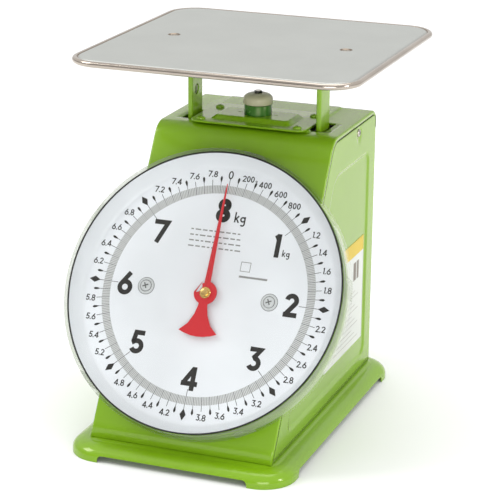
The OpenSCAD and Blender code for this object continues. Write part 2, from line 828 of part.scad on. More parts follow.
// Sheet with a rolled edge: four straight tubes and four quarter turns
module pan() color(steel) {
    rim_z = pan_top - rim_tube_r;
    line = pan_size / 2 - rim_tube_r;
    bend = pan_corner_r - rim_tube_r;
    difference() {
        translate([0, pan_y, 0]) union() {
            translate([0, 0, pan_under]) linear_extrude(pan_skin) rounded_rect(2 * line, 2 * line, bend);
            for (a = [0:90:270]) {
                rotate(a) translate([line, 0, rim_z]) rotate([90, 0, 0])
                    cylinder(h = 2 * (line - bend), r = rim_tube_r, center = true, $fn = 24);
                rotate(a) translate([line - bend, line - bend, rim_z]) rotate_extrude(angle = 90)
                    translate([bend, 0]) circle(r = rim_tube_r, $fn = 24);
            }
        }
        pan_screw_places() countersink(0.05);
        pan_screw_places() translate([0, 0, -0.3]) cylinder(h = 1, r = 4.6);
    }
}

module pan_screws() color(steel) difference() {
    pan_screw_places() countersink(0, 7);
    for (a = [0, 90]) {
        pan_screw_places() rotate(a) cube([5, 0.8, 1.6], center = true);
    }
}

// ---------------------------------------------------------------- level arms

// A flat arm, drawn at rest: round at its axle, slotted at the carrier's pin
module arm(z) {
    translate([arm_x, arm_y, z]) rotate([-arm_rise, 0, 0]) difference() {
        union() {
            rod_x(0, arm_t, 0, 0, 7);
            rod_x(0, arm_t, -arm_l, 0, 6);
            box(0, arm_t, -arm_l, 0, -5, 5);
        }
        rod_x(-1, arm_t + 1, 0, 0, axle_r + 0.02);
        for (y = arm_slot) {
            rod_x(-1, arm_t + 1, y, 0, pin_r + 0.4);
        }
        box(-1, arm_t + 1, arm_slot[0], arm_slot[1], -pin_r - 0.4, pin_r + 0.4);
    }
}

module axle(z) {
    rod_x(-arm_x - arm_t - 1.5, arm_x + arm_t + 1.5, arm_y, z, axle_r);
}

module upper_axle() color(steel) axle(upper_z);
module lower_axle() color(steel) axle(lower_z);
module upper_arm_right() color(zinc) arm(upper_z);
module upper_arm_left() color(zinc) mirror([1, 0, 0]) arm(upper_z);
module lower_arm_right() color(zinc) arm(lower_z);
module lower_arm_left() color(zinc) mirror([1, 0, 0]) arm(lower_z);

// ---------------------------------------------------------------- damping and stops

module dashpot_cylinder() color("#BFC3C6") translate([0, pot_y, pot_z0]) difference() {
    cylinder(h = pot_z1 - pot_z0, r = pot_r);
    translate([0, 0, 2]) cylinder(h = pot_z1 - pot_z0, r = pot_r - 1.5);
}

module dashpot_cap() color("#2A2B2C") translate([0, pot_y, 0]) tube(pot_r, 2.6, pot_z1, pot_z1 + 3);

// Crank on the carrier bar, then the rod and its piston in the cylinder
module dashpot_rod() color(steel) {
    crank_z = carrier_bar_z + 5;
    box(-3, 3, mech_y + hook_bar_t / 2, pot_y + 3, crank_z - 3, crank_z);
    translate([0, pot_y, pot_z0 + 24]) cylinder(h = crank_z - 1 - pot_z0 - 24, r = 2);
    translate([0, pot_y, pot_z0 + 22]) cylinder(h = 4, r = pot_r - 2);
}

// Rubber stops that the posts come down on past the full load
module stop_bumpers() color("#222222") mirrored() translate([post_x, mech_y, deck_z])
    cylinder(h = post_foot - travel - 1 - deck_z, r = 6);

base_tray();
case_front();
side_panel_left();
side_panel_right();
back_panel();
case_screws();
side_screws();
side_label();
top_cover_plate();
cover_screws();
dial_back_plate();
dial_standoffs();
dial_plate();
dial_screws();
dial_seal_ring();
dial_cover();
movement_front_plate();
movement_rear_plate();
movement_pillars();
movement_screws();
pinion_shaft();
pinion();
pointer();
pointer_boss();
frame_cheek_left();
frame_cheek_right();
frame_bridge();
frame_tie_bars();
frame_screws();
zero_bushing();
knob_cup();
knob_seal_screw();
zero_knob_cap();
zero_knob_nut();
zero_screw();
spring_hanger();
main_spring_left();
main_spring_right();
carrier_bar();
post_left();
post_right();
pan_bracket();
pan();
pan_screws();
pivot_pins();
upper_axle();
upper_arm_left();
upper_arm_right();
lower_axle();
lower_arm_left();
lower_arm_right();
rack_bridge();
rack_arm();
rack();
dashpot_cylinder();
dashpot_cap();
dashpot_rod();
stop_bumpers();
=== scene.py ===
"""Looks for the mechanical dial platform scale. Lengths are millimetres unless a name ends in _M."""
import json
import math
from math import cos, hypot, pi, radians, sin

import bmesh
import bpy
from mathutils import Matrix, Vector


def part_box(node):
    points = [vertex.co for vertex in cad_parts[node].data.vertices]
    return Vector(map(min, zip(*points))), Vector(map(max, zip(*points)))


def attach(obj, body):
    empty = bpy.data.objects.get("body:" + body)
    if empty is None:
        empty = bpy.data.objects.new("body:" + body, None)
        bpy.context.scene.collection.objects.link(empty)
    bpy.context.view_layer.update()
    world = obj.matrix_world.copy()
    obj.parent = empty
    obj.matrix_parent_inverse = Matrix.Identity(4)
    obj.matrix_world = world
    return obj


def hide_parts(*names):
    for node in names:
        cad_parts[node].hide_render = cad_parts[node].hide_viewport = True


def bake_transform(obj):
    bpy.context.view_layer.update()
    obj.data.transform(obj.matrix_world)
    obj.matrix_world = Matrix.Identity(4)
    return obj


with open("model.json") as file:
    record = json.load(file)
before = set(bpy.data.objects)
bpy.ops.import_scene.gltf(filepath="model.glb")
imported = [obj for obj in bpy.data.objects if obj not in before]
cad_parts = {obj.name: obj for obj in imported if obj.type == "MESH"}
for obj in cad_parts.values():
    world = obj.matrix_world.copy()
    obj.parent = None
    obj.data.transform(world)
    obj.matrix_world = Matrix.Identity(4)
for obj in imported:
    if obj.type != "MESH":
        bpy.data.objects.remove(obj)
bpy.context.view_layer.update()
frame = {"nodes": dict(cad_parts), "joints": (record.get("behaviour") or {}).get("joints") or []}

MM = 0.001
SHEET = 1.2
AXIS_R = 0.01
MERGE = 0.001
TONE_SPAN = (0.35, 0.65)

# --- places taken from the frame


def node_box(node):
    """Lowest and highest corners of a CAD node, in millimetres."""
    low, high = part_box(node)
    return Vector(low) / MM, Vector(high) / MM


def joint(name):
    return next(j for j in frame["joints"] if j["name"] == name)


DIAL = Vector(joint("pointer_turn")["pos_m"]) / MM
NORMAL = -Vector(joint("pointer_turn")["axis"]).normalized()
RIGHT = Vector((1, 0, 0))
UP_SLOPE = NORMAL.cross(RIGHT)
LEAN = math.atan2(NORMAL.z, -NORMAL.y)

tray_lo, tray_hi = node_box("base_tray")
case_lo, case_hi = node_box("case_front")
plate_lo, plate_hi = node_box("top_cover_plate")
pan_lo, pan_hi = node_box("pan")
post_lo, post_hi = node_box("post_right")
cap_lo, cap_hi = node_box("zero_knob_cap")
cup_lo, cup_hi = node_box("knob_cup")
hanger_lo = node_box("spring_hanger")[0]
bar_hi = node_box("carrier_bar")[1]
spring_lo, spring_hi = node_box("main_spring_right")
label_lo, label_hi = node_box("side_label")
KNOB = (cap_lo + cap_hi) / 2

DECK = tray_hi.z
CASE_W = case_hi.x
PLATEAU = 1.6
CASE_TOP = case_hi.z - PLATEAU
FRONT_BEND = 18.0
BACK_BEND = 11.0
BACK_FLANGE = CASE_TOP - 16.0
LIP = 3.3
FOOT_GAP = 0.45
SEAM = 0.8
FACE_H = 8.1
RIM_H = 19.4
DISH_FLOOR_R = 107.3
DISH_R = 114.5
COVER_R = 117.8
COVER_H = 22.5
POINTER_H = 12.0
PAN_SCREW_X = 75
DIAL_SCREW_X = 52.8

# --- mesh helpers


def new_object(name, data):
    obj = bpy.data.objects.new(name, data)
    bpy.context.collection.objects.link(obj)
    return obj


class Shape:
    """Collects points and faces in millimetres, then becomes one object in metres."""

    def __init__(self):
        self.points = []
        self.faces = []

    def add(self, points, faces):
        start = len(self.points)
        self.points += [tuple(p) for p in points]
        self.faces += [tuple(start + i for i in f) for f in faces]

    def loft(self, rings, closed=True, cap=(True, True)):
        """Joins rings of equal length, and closes the first and last where cap says so."""
        n = len(rings[0])
        faces = []
        for r in range(len(rings) - 1):
            for i in range(n if closed else n - 1):
                j = (i + 1) % n
                faces.append((r * n + i, r * n + j, (r + 1) * n + j, (r + 1) * n + i))
        if cap[0]:
            faces.append(tuple(reversed(range(n))))
        if cap[1]:
            faces.append(tuple((len(rings) - 1) * n + i for i in range(n)))
        self.add([p for ring in rings for p in ring], faces)

    def make(self, name, material, body="root", sharp=35):
        mesh = bpy.data.meshes.new(name)
        mesh.from_pydata([Vector(p) * MM for p in self.points], [], self.faces)
        bm = bmesh.new()
        bm.from_mesh(mesh)
        bmesh.ops.remove_doubles(bm, verts=bm.verts, dist=MERGE * MM)
        bmesh.ops.dissolve_degenerate(bm, edges=bm.edges, dist=MERGE * MM)
        bm.to_mesh(mesh)
        bm.free()
        mesh.shade_smooth()
        mesh.set_sharp_from_angle(angle=radians(sharp))
        obj = new_object(name, mesh)
        mesh.materials.append(material)
        obj["body"] = body
        return obj


def finish_piece(obj, replaces=()):
    """Sets the body that a piece rides on and the CAD nodes that it stands for."""
    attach(obj, obj["body"])
    del obj["body"]
    if replaces:
        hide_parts(*replaces)
    return obj


def apply_modifiers(obj):
    """Turns the object's modifiers into its mesh."""
    graph = bpy.context.evaluated_depsgraph_get()
    mesh = bpy.data.meshes.new_from_object(obj.evaluated_get(graph))
    obj.modifiers.clear()
    obj.data = mesh


def solidify(obj, thickness):
    """Thickens a sheet on the side away from its normals."""
    mod = obj.modifiers.new("sheet", "SOLIDIFY")
    mod.thickness = thickness * MM
    mod.offset = -1
    mod.use_even_offset = True
    apply_modifiers(obj)


def flip_out(obj):
    """Turns a closed mesh's faces outward."""
    bm = bmesh.new()
    bm.from_mesh(obj.data)
    bmesh.ops.recalc_face_normals(bm, faces=bm.faces)
    bm.to_mesh(obj.data)
    bm.free()


def raise_by(obj, z):
    for v in obj.data.vertices:
        v.co.z += z * MM


def cut(obj, cutter):
    """Takes one object's volume out of another's."""
    mod = obj.modifiers.new("cut", "BOOLEAN")
    mod.operation = "DIFFERENCE"
    mod.solver = "EXACT"
    mod.object = cutter
    apply_modifiers(obj)
    bpy.data.objects.remove(cutter)


def arc(cx, cy, r, a0, a1, n):
    """Points on an arc, its angles in degrees."""
    angles = [radians(a0 + (a1 - a0) * i / n) for i in range(n + 1)]
    return [(cx + r * cos(a), cy + r * sin(a)) for a in angles]


def rounded_rect(w, d, r, n=10):
    """A rounded rectangle's outline about the origin, anticlockwise."""
    x = w / 2 - r
    y = d / 2 - r
    corners = ((x, y, 0), (-x, y, 90), (-x, -y, 180), (x, -y, 270))
    return [p for cx, cy, start in corners for p in arc(cx, cy, r, start, start + 90, n)]


def level(outline, z, cx=0.0, cy=0.0):
    return [(x + cx, y + cy, z) for x, y in outline]


def on_dial(x, up, out):
    """A point on the dial: x to the right, up the slope, and out from the front panel."""
    return DIAL + RIGHT * x + UP_SLOPE * up + NORMAL * out


def turned(profile, place, segments=96, closed=False):
    """Rings of a profile of (radius, height) points about a local axis; place maps local x, y, z."""
    points = profile + [profile[0]] if closed else profile
    rings = []
    for r, h in points:
        ring = []
        for i in range(segments):
            a = 2 * pi * i / segments
            ring.append(place(r * cos(a), r * sin(a), h))
        rings.append(ring)
    return rings


def lofted(rings, name, material, body="root", sharp=35, closed=True, cap=(True, True)):
    """One object made from rings alone."""
    shape = Shape()
    shape.loft(rings, closed, cap)
    return shape.make(name, material, body, sharp)


def turned_piece(name, profile, place, segments, material, node, body="root"):
    """A closed profile turned about a local axis, finished as one piece."""
    rings = turned(profile, place, segments, closed=True)
    return finish_piece(lofted(rings, name, material, body, cap=(False, False)), [node])


def upright(cx, cy):
    """Local coordinates about a vertical axis."""
    return lambda x, y, z: Vector((cx + x, cy + y, z))


def smooth_step(t):
    t = min(1.0, max(0.0, t))
    return t * t * (3 - 2 * t)


def shares(a, b, n):
    return [a + (b - a) * i / n for i in range(n + 1)]


def spaced(a, b, step):
    return shares(a, b, max(1, round(abs(b - a) / step)))


# --- materials


class Look:
    """A Principled material and short ways to add nodes to it."""

    def __init__(self, name, color, roughness, metallic=0.0, **sockets):
        self.material = bpy.data.materials.new(name)
        self.material.use_nodes = True
        self.tree = self.material.node_tree
        self.shader = self.tree.nodes["Principled BSDF"]
        self.shader.inputs["Base Color"].default_value = (*color, 1)
        self.shader.inputs["Roughness"].default_value = roughness
        self.shader.inputs["Metallic"].default_value = metallic
        for key, value in sockets.items():
            self.shader.inputs[key.replace("_", " ")].default_value = value
        self.coords = self.tree.nodes.new("ShaderNodeTexCoord").outputs["Object"]

    def node(self, kind, **settings):
        node = self.tree.nodes.new("ShaderNode" + kind)
        for key, value in settings.items():
            if hasattr(node, key):
                setattr(node, key, value)
            else:
                node.inputs[key.replace("_", " ")].default_value = value
        return node

    def link(self, a, b):
        self.tree.links.new(a, b)

    def stretched(self, scale):
        """Object coordinates scaled by a vector."""
        mapping = self.node("Mapping")
        mapping.inputs["Scale"].default_value = scale
        self.link(self.coords, mapping.inputs["Vector"])
        return mapping.outputs["Vector"]

    def noise(self, scale, detail=3.0, stretch=None):
        noise = self.node("TexNoise", Scale=scale, Detail=detail)
        self.link(self.stretched(stretch) if stretch else self.coords, noise.inputs["Vector"])
        return noise.outputs["Fac"]

    def tone(self, fac, low, high):
        """A base colour that goes from low to high over the middle of fac's range."""
        ramp = self.node("ValToRGB")
        for element, place, color in zip(ramp.color_ramp.elements, TONE_SPAN, (low, high)):
            element.position = place
            element.color = (*color, 1)
        self.link(fac, ramp.inputs["Fac"])
        self.link(ramp.outputs["Color"], self.shader.inputs["Base Color"])

    def rough(self, fac, low, high):
        spread = self.node("MapRange")
        spread.inputs["To Min"].default_value = low
        spread.inputs["To Max"].default_value = high
        self.link(fac, spread.inputs["Value"])
        self.link(spread.outputs["Result"], self.shader.inputs["Roughness"])

    def bump(self, height, distance):
        bump = self.node("Bump", Distance=distance * MM, Strength=1.0)
        self.link(height, bump.inputs["Height"])
        self.link(bump.outputs["Normal"], self.shader.inputs["Normal"])


def shade(color, k):
    return tuple(min(1.0, c * k) for c in color)


def paint(name, color, roughness=0.2, peel=0.02, coat=0.5, tint=1.0):
    """Baked enamel: slight patches of tone, an orange-peel skin and uneven gloss."""
    shine = (1.0, 0.75 + tint / 4, tint, 1)
    look = Look(name, color, roughness, Coat_Weight=coat, Coat_Roughness=0.08, Specular_IOR_Level=0.5,
                Coat_Tint=shine, Specular_Tint=shine)
    look.tone(look.noise(9.0), shade(color, 0.93), shade(color, 1.06))
    look.rough(look.noise(160.0, 2.0), roughness * 0.8, roughness * 1.25)
    look.bump(look.noise(900.0, 2.0), peel)
    return look.material


def metal(name, color, roughness, brush=None, depth=0.004, spread=0.08):
    """Bare or plated metal, brushed along one direction where brush says so."""
    look = Look(name, color, roughness, metallic=1.0)
    look.tone(look.noise(25.0), shade(color, 1 - spread), shade(color, 1 + spread))
    grain = look.noise(300.0, 4.0, brush) if brush else look.noise(700.0, 3.0)
    look.rough(grain, roughness * 0.75, roughness * 1.3)
    look.bump(grain, depth)
    return look.material


def plastic(name, color, roughness, coat=0.2):
    look = Look(name, color, roughness, Coat_Weight=coat, Coat_Roughness=0.15)
    look.tone(look.noise(14.0), shade(color, 0.94), shade(color, 1.05))
    look.rough(look.noise(220.0), roughness * 0.85, roughness * 1.2)
    look.bump(look.noise(1200.0, 2.0), 0.01)
    return look.material


def clear_plastic():
    """Water-clear acrylic: see-through face on, and bright where the light glances off; the glancing part's
    green-grey base colour is a painted reflection of the green case.
    """
    look = Look("clear_acrylic", (0.60, 0.66, 0.52), 0.05, Specular_IOR_Level=0.6)
    look.rough(look.noise(60.0), 0.04, 0.09)
    through = look.node("BsdfTransparent")
    through.inputs["Color"].default_value = (0.99, 0.99, 0.99, 1)
    edge = look.node("LayerWeight", Blend=0.28)
    amount = look.node("MapRange")
    amount.inputs["From Min"].default_value = 0.06
    amount.inputs["To Min"].default_value = 0.0
    amount.inputs["To Max"].default_value = 0.5
    mix = look.node("MixShader")
    look.link(edge.outputs["Fresnel"], amount.inputs["Value"])
    look.link(amount.outputs["Result"], mix.inputs["Fac"])
    look.link(through.outputs["BSDF"], mix.inputs[1])
    look.link(look.shader.outputs["BSDF"], mix.inputs[2])
    look.link(mix.outputs["Shader"], look.tree.nodes["Material Output"].inputs["Surface"])
    return look.material


GREEN_RGB = (0.185, 0.375, 0.008)
green = paint("green_enamel", GREEN_RGB, coat=0.4, tint=0.72)
# A much darker copy of the green enamel: painted shade for the side panels' seam gaps and the cover plate's
# slits.
green_painted_shade = paint("green_enamel_painted_shade", shade(GREEN_RGB, 0.16), 0.45, coat=0.0, tint=0.7)
cup_green = paint("cup_green_enamel", (0.022, 0.135, 0.010), 0.32, coat=0.05, tint=0.6)
pan_steel = metal("pan_brushed_steel", (0.50, 0.512, 0.485), 0.4, (2.0, 60.0, 2.0), spread=0.02)
# Dark brown copy of the pan steel: painted shade in the pan's crease and screw dishes.
crease_painted_shade_steel = metal("pan_crease_painted_shade", (0.26, 0.21, 0.165), 0.3)
pan_screw_steel = metal("pan_screw_steel", (0.40, 0.36, 0.30), 0.25)
# Darker brown copy of the pan steel for the rolled bead of the same sheet: painted shade.
bead_painted_shade_steel = metal("pan_bead_painted_shade", (0.46, 0.405, 0.35), 0.16, (3.0, 3.0, 60.0))
bright = metal("bright_steel", (0.50, 0.47, 0.42), 0.2)
zinc = metal("zinc_plate", (0.50, 0.51, 0.53), 0.34)
wire_steel = metal("oiled_spring_wire", (0.28, 0.28, 0.29), 0.3)
brass = metal("turned_brass", (0.70, 0.48, 0.17), 0.26)
dark_steel = metal("blackened_steel", (0.05, 0.05, 0.045), 0.35)
dial_white = paint("dial_white_enamel", (0.80, 0.825, 0.865), 0.35, 0.006, 0.1)
ink = paint("dial_ink", (0.022, 0.020, 0.018), 0.6, 0.004, 0.0)
ink_grey = paint("dial_band_ink", (0.60, 0.615, 0.62), 0.55, 0.004, 0.0)
ink_pale = paint("dial_pale_ink", (0.27, 0.27, 0.265), 0.55, 0.004, 0.0)
red = paint("pointer_red_enamel", (0.60, 0.014, 0.022), 0.42, 0.006, 0.1)
ivory = plastic("ivory_cap", (0.40, 0.385, 0.245), 0.38, 0.1)
black_rubber = plastic("black_rubber", (0.016, 0.016, 0.015), 0.65, 0.0)
screw_white = paint("dial_screw_paint", (0.60, 0.62, 0.63), 0.4, 0.004, 0.1)
# Dark grey: painted shade at the dial screws' edges and in their cross recesses.
screw_painted_shade = paint("dial_screw_painted_shade", (0.13, 0.135, 0.13), 0.5, 0.004, 0.0)
label_white = plastic("label_film", (0.66, 0.68, 0.64), 0.45, 0.1)
label_yellow = plastic("label_band", (0.66, 0.48, 0.035), 0.5, 0.05)
label_ink = plastic("label_rules", (0.22, 0.19, 0.16), 0.5, 0.0)
acrylic = clear_plastic()
alloy = metal("dashpot_aluminium", (0.70, 0.71, 0.72), 0.3, (2.0, 2.0, 90.0))

CAD_LOOKS = {
    green: ["back_panel", "cover_screws"],
    zinc: ["case_screws", "frame_screws", "dial_standoffs", "movement_pillars", "movement_screws",
           "frame_cheek_left", "frame_cheek_right", "frame_bridge", "carrier_bar", "pan_bracket",
           "spring_hanger", "upper_arm_left", "upper_arm_right", "lower_arm_left", "lower_arm_right",
           "rack_bridge", "rack_arm"],
    bright: ["side_screws", "pinion_shaft", "frame_tie_bars", "zero_screw", "pivot_pins",
             "upper_axle", "lower_axle", "rack", "dashpot_rod"],
    brass: ["movement_front_plate", "movement_rear_plate", "pinion", "zero_bushing"],
    black_rubber: ["stop_bumpers", "dashpot_cap"],
    alloy: ["dashpot_cylinder"],
}


def dress_cad_nodes():
    """Gives the CAD nodes that stay in view their materials."""
    for material, nodes in CAD_LOOKS.items():
        for node in nodes:
            mesh = frame["nodes"][node].data
            mesh.materials.clear()
            mesh.materials.append(material)


# --- base tray

RIM_OUT = tray_hi.x - CASE_W
RIM_SKIRT = 3.0
FOOT_X = 31.0
FOOT_Y = 34.0
RIM_GAP = 5.7
NOTCH_R = 4.0


def rim_point(t):
    """The rim's section: (out from the case, height), as t goes from 0 at the deck to 1 at the floor."""
    if t < 0.2:
        k = t / 0.2
        return 4.0 * k, DECK - 1.1 * k * k
    if t < 0.9:
        a = radians(90 * (t - 0.2) / 0.7)
        top = DECK - 1.1
        return 4.0 + (RIM_OUT - 4.0) * sin(a), RIM_SKIRT + (top - RIM_SKIRT) * cos(a) ** 0.95
    return RIM_OUT, RIM_SKIRT * (1 - (t - 0.9) / 0.1)


def rim_low(along, half_gap):
    """Height of the rim's lower edge at a distance from the middle of a side."""
    past = abs(along) - (half_gap - NOTCH_R)
    if past <= 0:
        return RIM_GAP
    if past > NOTCH_R:
        return 0.0
    return RIM_GAP - NOTCH_R + math.sqrt(NOTCH_R ** 2 - past ** 2)


def tray_stations():
    """(point, outward direction, lower edge) round the case's footprint, anticlockwise."""
    half_w = tray_hi.x
    half_d = (tray_hi.y - tray_lo.y) / 2
    mid_y = (tray_hi.y + tray_lo.y) / 2
    inset = RIM_OUT + 10.5
    stations = []
    for quarter in range(4):
        turn = Matrix.Rotation(radians(90 * quarter), 3, "Z")
        a, b, foot = (half_w, half_d, FOOT_Y) if quarter % 2 == 0 else (half_d, half_w, FOOT_X)
        gap = b - foot
        steps = spaced(0, gap - NOTCH_R, 8)[:-1] + spaced(gap - NOTCH_R, gap, 0.5)
        steps += [gap + 0.02] + spaced(gap + 1, b - inset, 2)
        for s in [-v for v in reversed(steps)] + steps[1:]:
            place = turn @ Vector((a - RIM_OUT, s, 0)) + Vector((0, mid_y, 0))
            stations.append((place, turn @ RIGHT, rim_low(s, gap)))
        centre = turn @ Vector((a - inset, b - inset, 0)) + Vector((0, mid_y, 0))
        for i in range(1, 16):
            out = turn @ Vector((cos(pi / 32 * i), sin(pi / 32 * i), 0))
            stations.append((centre + out * 10.5, out, 0.0))
    return stations


def build_tray():
    stations = tray_stations()
    ts = spaced(0, 0.2, 0.05) + spaced(0.2, 0.9, 0.035)[1:] + spaced(0.9, 1, 0.02)[1:]
    rings = []
    for t in [None] + ts:
        ring = []
        for place, out, low in stations:
            if t is None:
                ring.append(place - out * 3 + Vector((0, 0, DECK)))
                continue
            u, z = rim_point(t)
            if z < low:
                lo, hi = 0.0, 1.0
                for _ in range(24):
                    mid = (lo + hi) / 2
                    lo, hi = (mid, hi) if rim_point(mid)[1] > low else (lo, mid)
                u, z = rim_point(lo)
            ring.append(place + out * u + Vector((0, 0, z)))
        rings.append(ring)
    tray = lofted(list(reversed(rings)), "base_tray_shell", green, cap=(False, True))
    solidify(tray, SHEET)
    finish_piece(tray, ["base_tray"])


# --- case

SLOT_LO = Vector((50.0, KNOB.y - 13.0, 0))
SLOT_HI = Vector((63.0, KNOB.y + 16.0, 0))
EDGE_R = 1.5
FRONT_LINE_TOP = CASE_TOP - FRONT_BEND
BEND_Y = case_lo.y + (FRONT_LINE_TOP - DECK) * math.tan(LEAN) + FRONT_BEND / cos(LEAN)
BACK_Y = case_hi.y
PLATEAU_X = 50.4
PLATEAU_Y = (BEND_Y + 1.6, BACK_Y - 13.0)


def case_profile():
    """(y, z, normal y, normal z) along the sheet, from the foot of the front to the back flange."""
    first = arc(BEND_Y, FRONT_LINE_TOP, FRONT_BEND, 180 - math.degrees(LEAN), 90, 16)
    ny, nz = -cos(LEAN), sin(LEAN)
    foot = Vector((case_lo.y + FOOT_GAP * math.tan(LEAN), DECK + FOOT_GAP))
    path = []
    for k in spaced(0, 1, 0.05)[:-1]:
        p = foot.lerp(Vector(first[0]), k)
        path.append((p.x, p.y, ny, nz))
    for y, z in first:
        path.append((y, z, (y - BEND_Y) / FRONT_BEND, (z - FRONT_LINE_TOP) / FRONT_BEND))
    breaks = [PLATEAU_Y[0] - 1, PLATEAU_Y[0] + 1, SLOT_LO.y, SLOT_HI.y, PLATEAU_Y[1] - 1, PLATEAU_Y[1] + 1]
    ys = [BEND_Y]
    for y in breaks + [BACK_Y - BACK_BEND]:
        ys += spaced(ys[-1], y, 3 if y - ys[-1] > 3 else 0.5)[1:]
    path += [(y, CASE_TOP, 0.0, 1.0) for y in ys[1:]]
    back_z = CASE_TOP - BACK_BEND
    for y, z in arc(BACK_Y - BACK_BEND, back_z, BACK_BEND, 90, 0, 12)[1:]:
        path.append((y, z, (y - BACK_Y + BACK_BEND) / BACK_BEND, (z - back_z) / BACK_BEND))
    path.append((BACK_Y, BACK_FLANGE, 1.0, 0.0))
    return path


def case_section():
    """(x, depth) across the sheet, from one lip's edge to the other's."""
    half = [(0.0, 0.0)] + [(x, 0.0) for x in spaced(4, 48, 4)]
    half += [(x, 0.0) for x in spaced(PLATEAU_X - 1.2, PLATEAU_X + 1.2, 0.4)]
    half += [(SLOT_LO.x, 0.0), (SLOT_HI.x, 0.0), (69.0, 0.0)]
    half = sorted(half)
    half += [(CASE_W - EDGE_R + EDGE_R * sin(a), EDGE_R - EDGE_R * cos(a))
             for a in (radians(15 * i) for i in range(7))]
    half.append((CASE_W, LIP))
    return [(-x, d) for x, d in reversed(half[1:])] + half


def plateau(x, y):
    side = smooth_step((PLATEAU_X + 1.2 - abs(x)) / 2.4)
    front = smooth_step((y - PLATEAU_Y[0] + 1) / 2)
    back = smooth_step((PLATEAU_Y[1] + 1 - y) / 2)
    return PLATEAU * side * front * back


def in_slot(x, y):
    return SLOT_LO.x < abs(x) < SLOT_HI.x and SLOT_LO.y < y < SLOT_HI.y


def build_case_front():
    path = case_profile()
    section = case_section()
    points = []
    for y, z, ny, nz in path:
        for x, d in section:
            lift = plateau(x, y) if nz == 1.0 and d == 0 else 0.0
            points.append((x, y - ny * d, z - nz * d + lift))
    n = len(section)
    faces = []
    for r in range(len(path) - 1):
        for i in range(n - 1):
            mid_x = (section[i][0] + section[i + 1][0]) / 2
            mid_y = (path[r][0] + path[r + 1][0]) / 2
            if path[r][3] == 1.0 and in_slot(mid_x, mid_y):
                continue
            a = r * n + i
            faces.append((a, a + 1, a + n + 1, a + n))
    shape = Shape()
    shape.add(points, faces)
    case = shape.make("case_front_sheet", green)
    solidify(case, SHEET)
    finish_piece(case, ["case_front"])


FIELD_BACK = 18.0
FIELD_FRONT = 27.0
FIELD_LOW = 27.0
FIELD_HIGH = 208.0
FIELD_DEPTH = 1.25
EDGE_DROP = 1.5
EDGE_BAND = 0.8


def panel_front(z):
    """The side panel's front edge at a height."""
    gap = LIP + SEAM
    if z <= FRONT_LINE_TOP + (FRONT_BEND - gap) * sin(LEAN):
        return case_lo.y + (z - DECK) * math.tan(LEAN) + gap / cos(LEAN)
    r = FRONT_BEND - gap
    return BEND_Y - math.sqrt(max(0.0, r * r - (z - FRONT_LINE_TOP) ** 2))


def panel_back(z):
    r = BACK_BEND - SHEET - 0.1
    z0 = CASE_TOP - BACK_BEND
    if z <= z0:
        return BACK_Y - SHEET - 0.1
    return BACK_Y - BACK_BEND + math.sqrt(max(0.0, r * r - (z - z0) ** 2))


def field_depth(y, z):
    """How far the side panel is sunk at a point, with soft walls and round corners."""
    front = (y - panel_front(min(z, FRONT_LINE_TOP)) - FIELD_FRONT + 4) * cos(LEAN)
    edges = [front, BACK_Y - SHEET - FIELD_BACK - y, z - FIELD_LOW, FIELD_HIGH - z]
    r = 9.0
    short = [max(0.0, r - e) for e in edges]
    inside = r - math.sqrt(sum(s * s for s in short)) if any(short) else min(edges)
    return FIELD_DEPTH * smooth_step(0.5 + inside / 3.6)


SIDE_SCREW = Vector((0, 68.5, CASE_TOP - 10.5))


def dimple_depth(y, z):
    """A teardrop dimple round the side screw, running out downward."""
    dy = y - SIDE_SCREW.y
    dz = z - SIDE_SCREW.z
    reach = 6.0 if dz > 0 else 9.5
    return 0.9 * smooth_step(1.25 - hypot(dy / 6.0, dz / reach))


def build_side_panel(side):
    name = "right" if side > 0 else "left"
    top = CASE_TOP - LIP - SEAM
    rows = spaced(DECK, FIELD_LOW - 4, 5) + spaced(FIELD_LOW - 3, FIELD_LOW + 10, 1)
    rows += spaced(FIELD_LOW + 16, FIELD_HIGH - 14, 6) + spaced(FIELD_HIGH - 10, FIELD_HIGH + 4, 1)
    rows += spaced(FIELD_HIGH + 6, SIDE_SCREW.z - 11, 4) + spaced(SIDE_SCREW.z - 10, top - 1.2, 0.7)
    rows += [top - 0.9, top - 0.6, top - 0.3, top]
    rings = []
    for z in rows:
        a, b = panel_front(z), panel_back(z)
        span = b - a
        near = min(45.0, span * 0.35)
        far = b - min(62.0, span * 0.45)
        ys = shares(a, a + 1.2, 4)[:-1] + shares(a + 1.2, a + near, 38)[:-1] + shares(a + near, far, 12)[:-1]
        ys += shares(far, b - 1.2, 54)[:-1] + shares(b - 1.2, b, 4)
        ring = []
        for y in ys:
            rim = min(y - a, b - y, top - z)
            depth = field_depth(y, z) + dimple_depth(y, z) + EDGE_DROP * (1 - smooth_step(rim / EDGE_BAND))
            ring.append((side * (CASE_W - depth), y, z))
        rings.append(ring)
    if side > 0:
        rings.reverse()
    panel = lofted(list(reversed(rings)), "side_panel_sheet_" + name, green, sharp=50, closed=False,
                   cap=(False, False))
    solidify(panel, SHEET)
    # Faces on the side panel's dropped edge band take the dark copy of the green: painted shade of the seam
    # gap.
    panel.data.materials.append(green_painted_shade)
    for face in panel.data.polygons:
        if abs(face.center.x) < (CASE_W - EDGE_DROP / 3) * MM and abs(face.normal.x) < 0.9:
            mid = face.center / MM
            near = min(mid.y - panel_front(mid.z), panel_back(mid.z) - mid.y, top - mid.z)
            face.material_index = 1 if near < EDGE_BAND else 0
    finish_piece(panel, ["side_panel_" + name])


# --- cover plate and screws


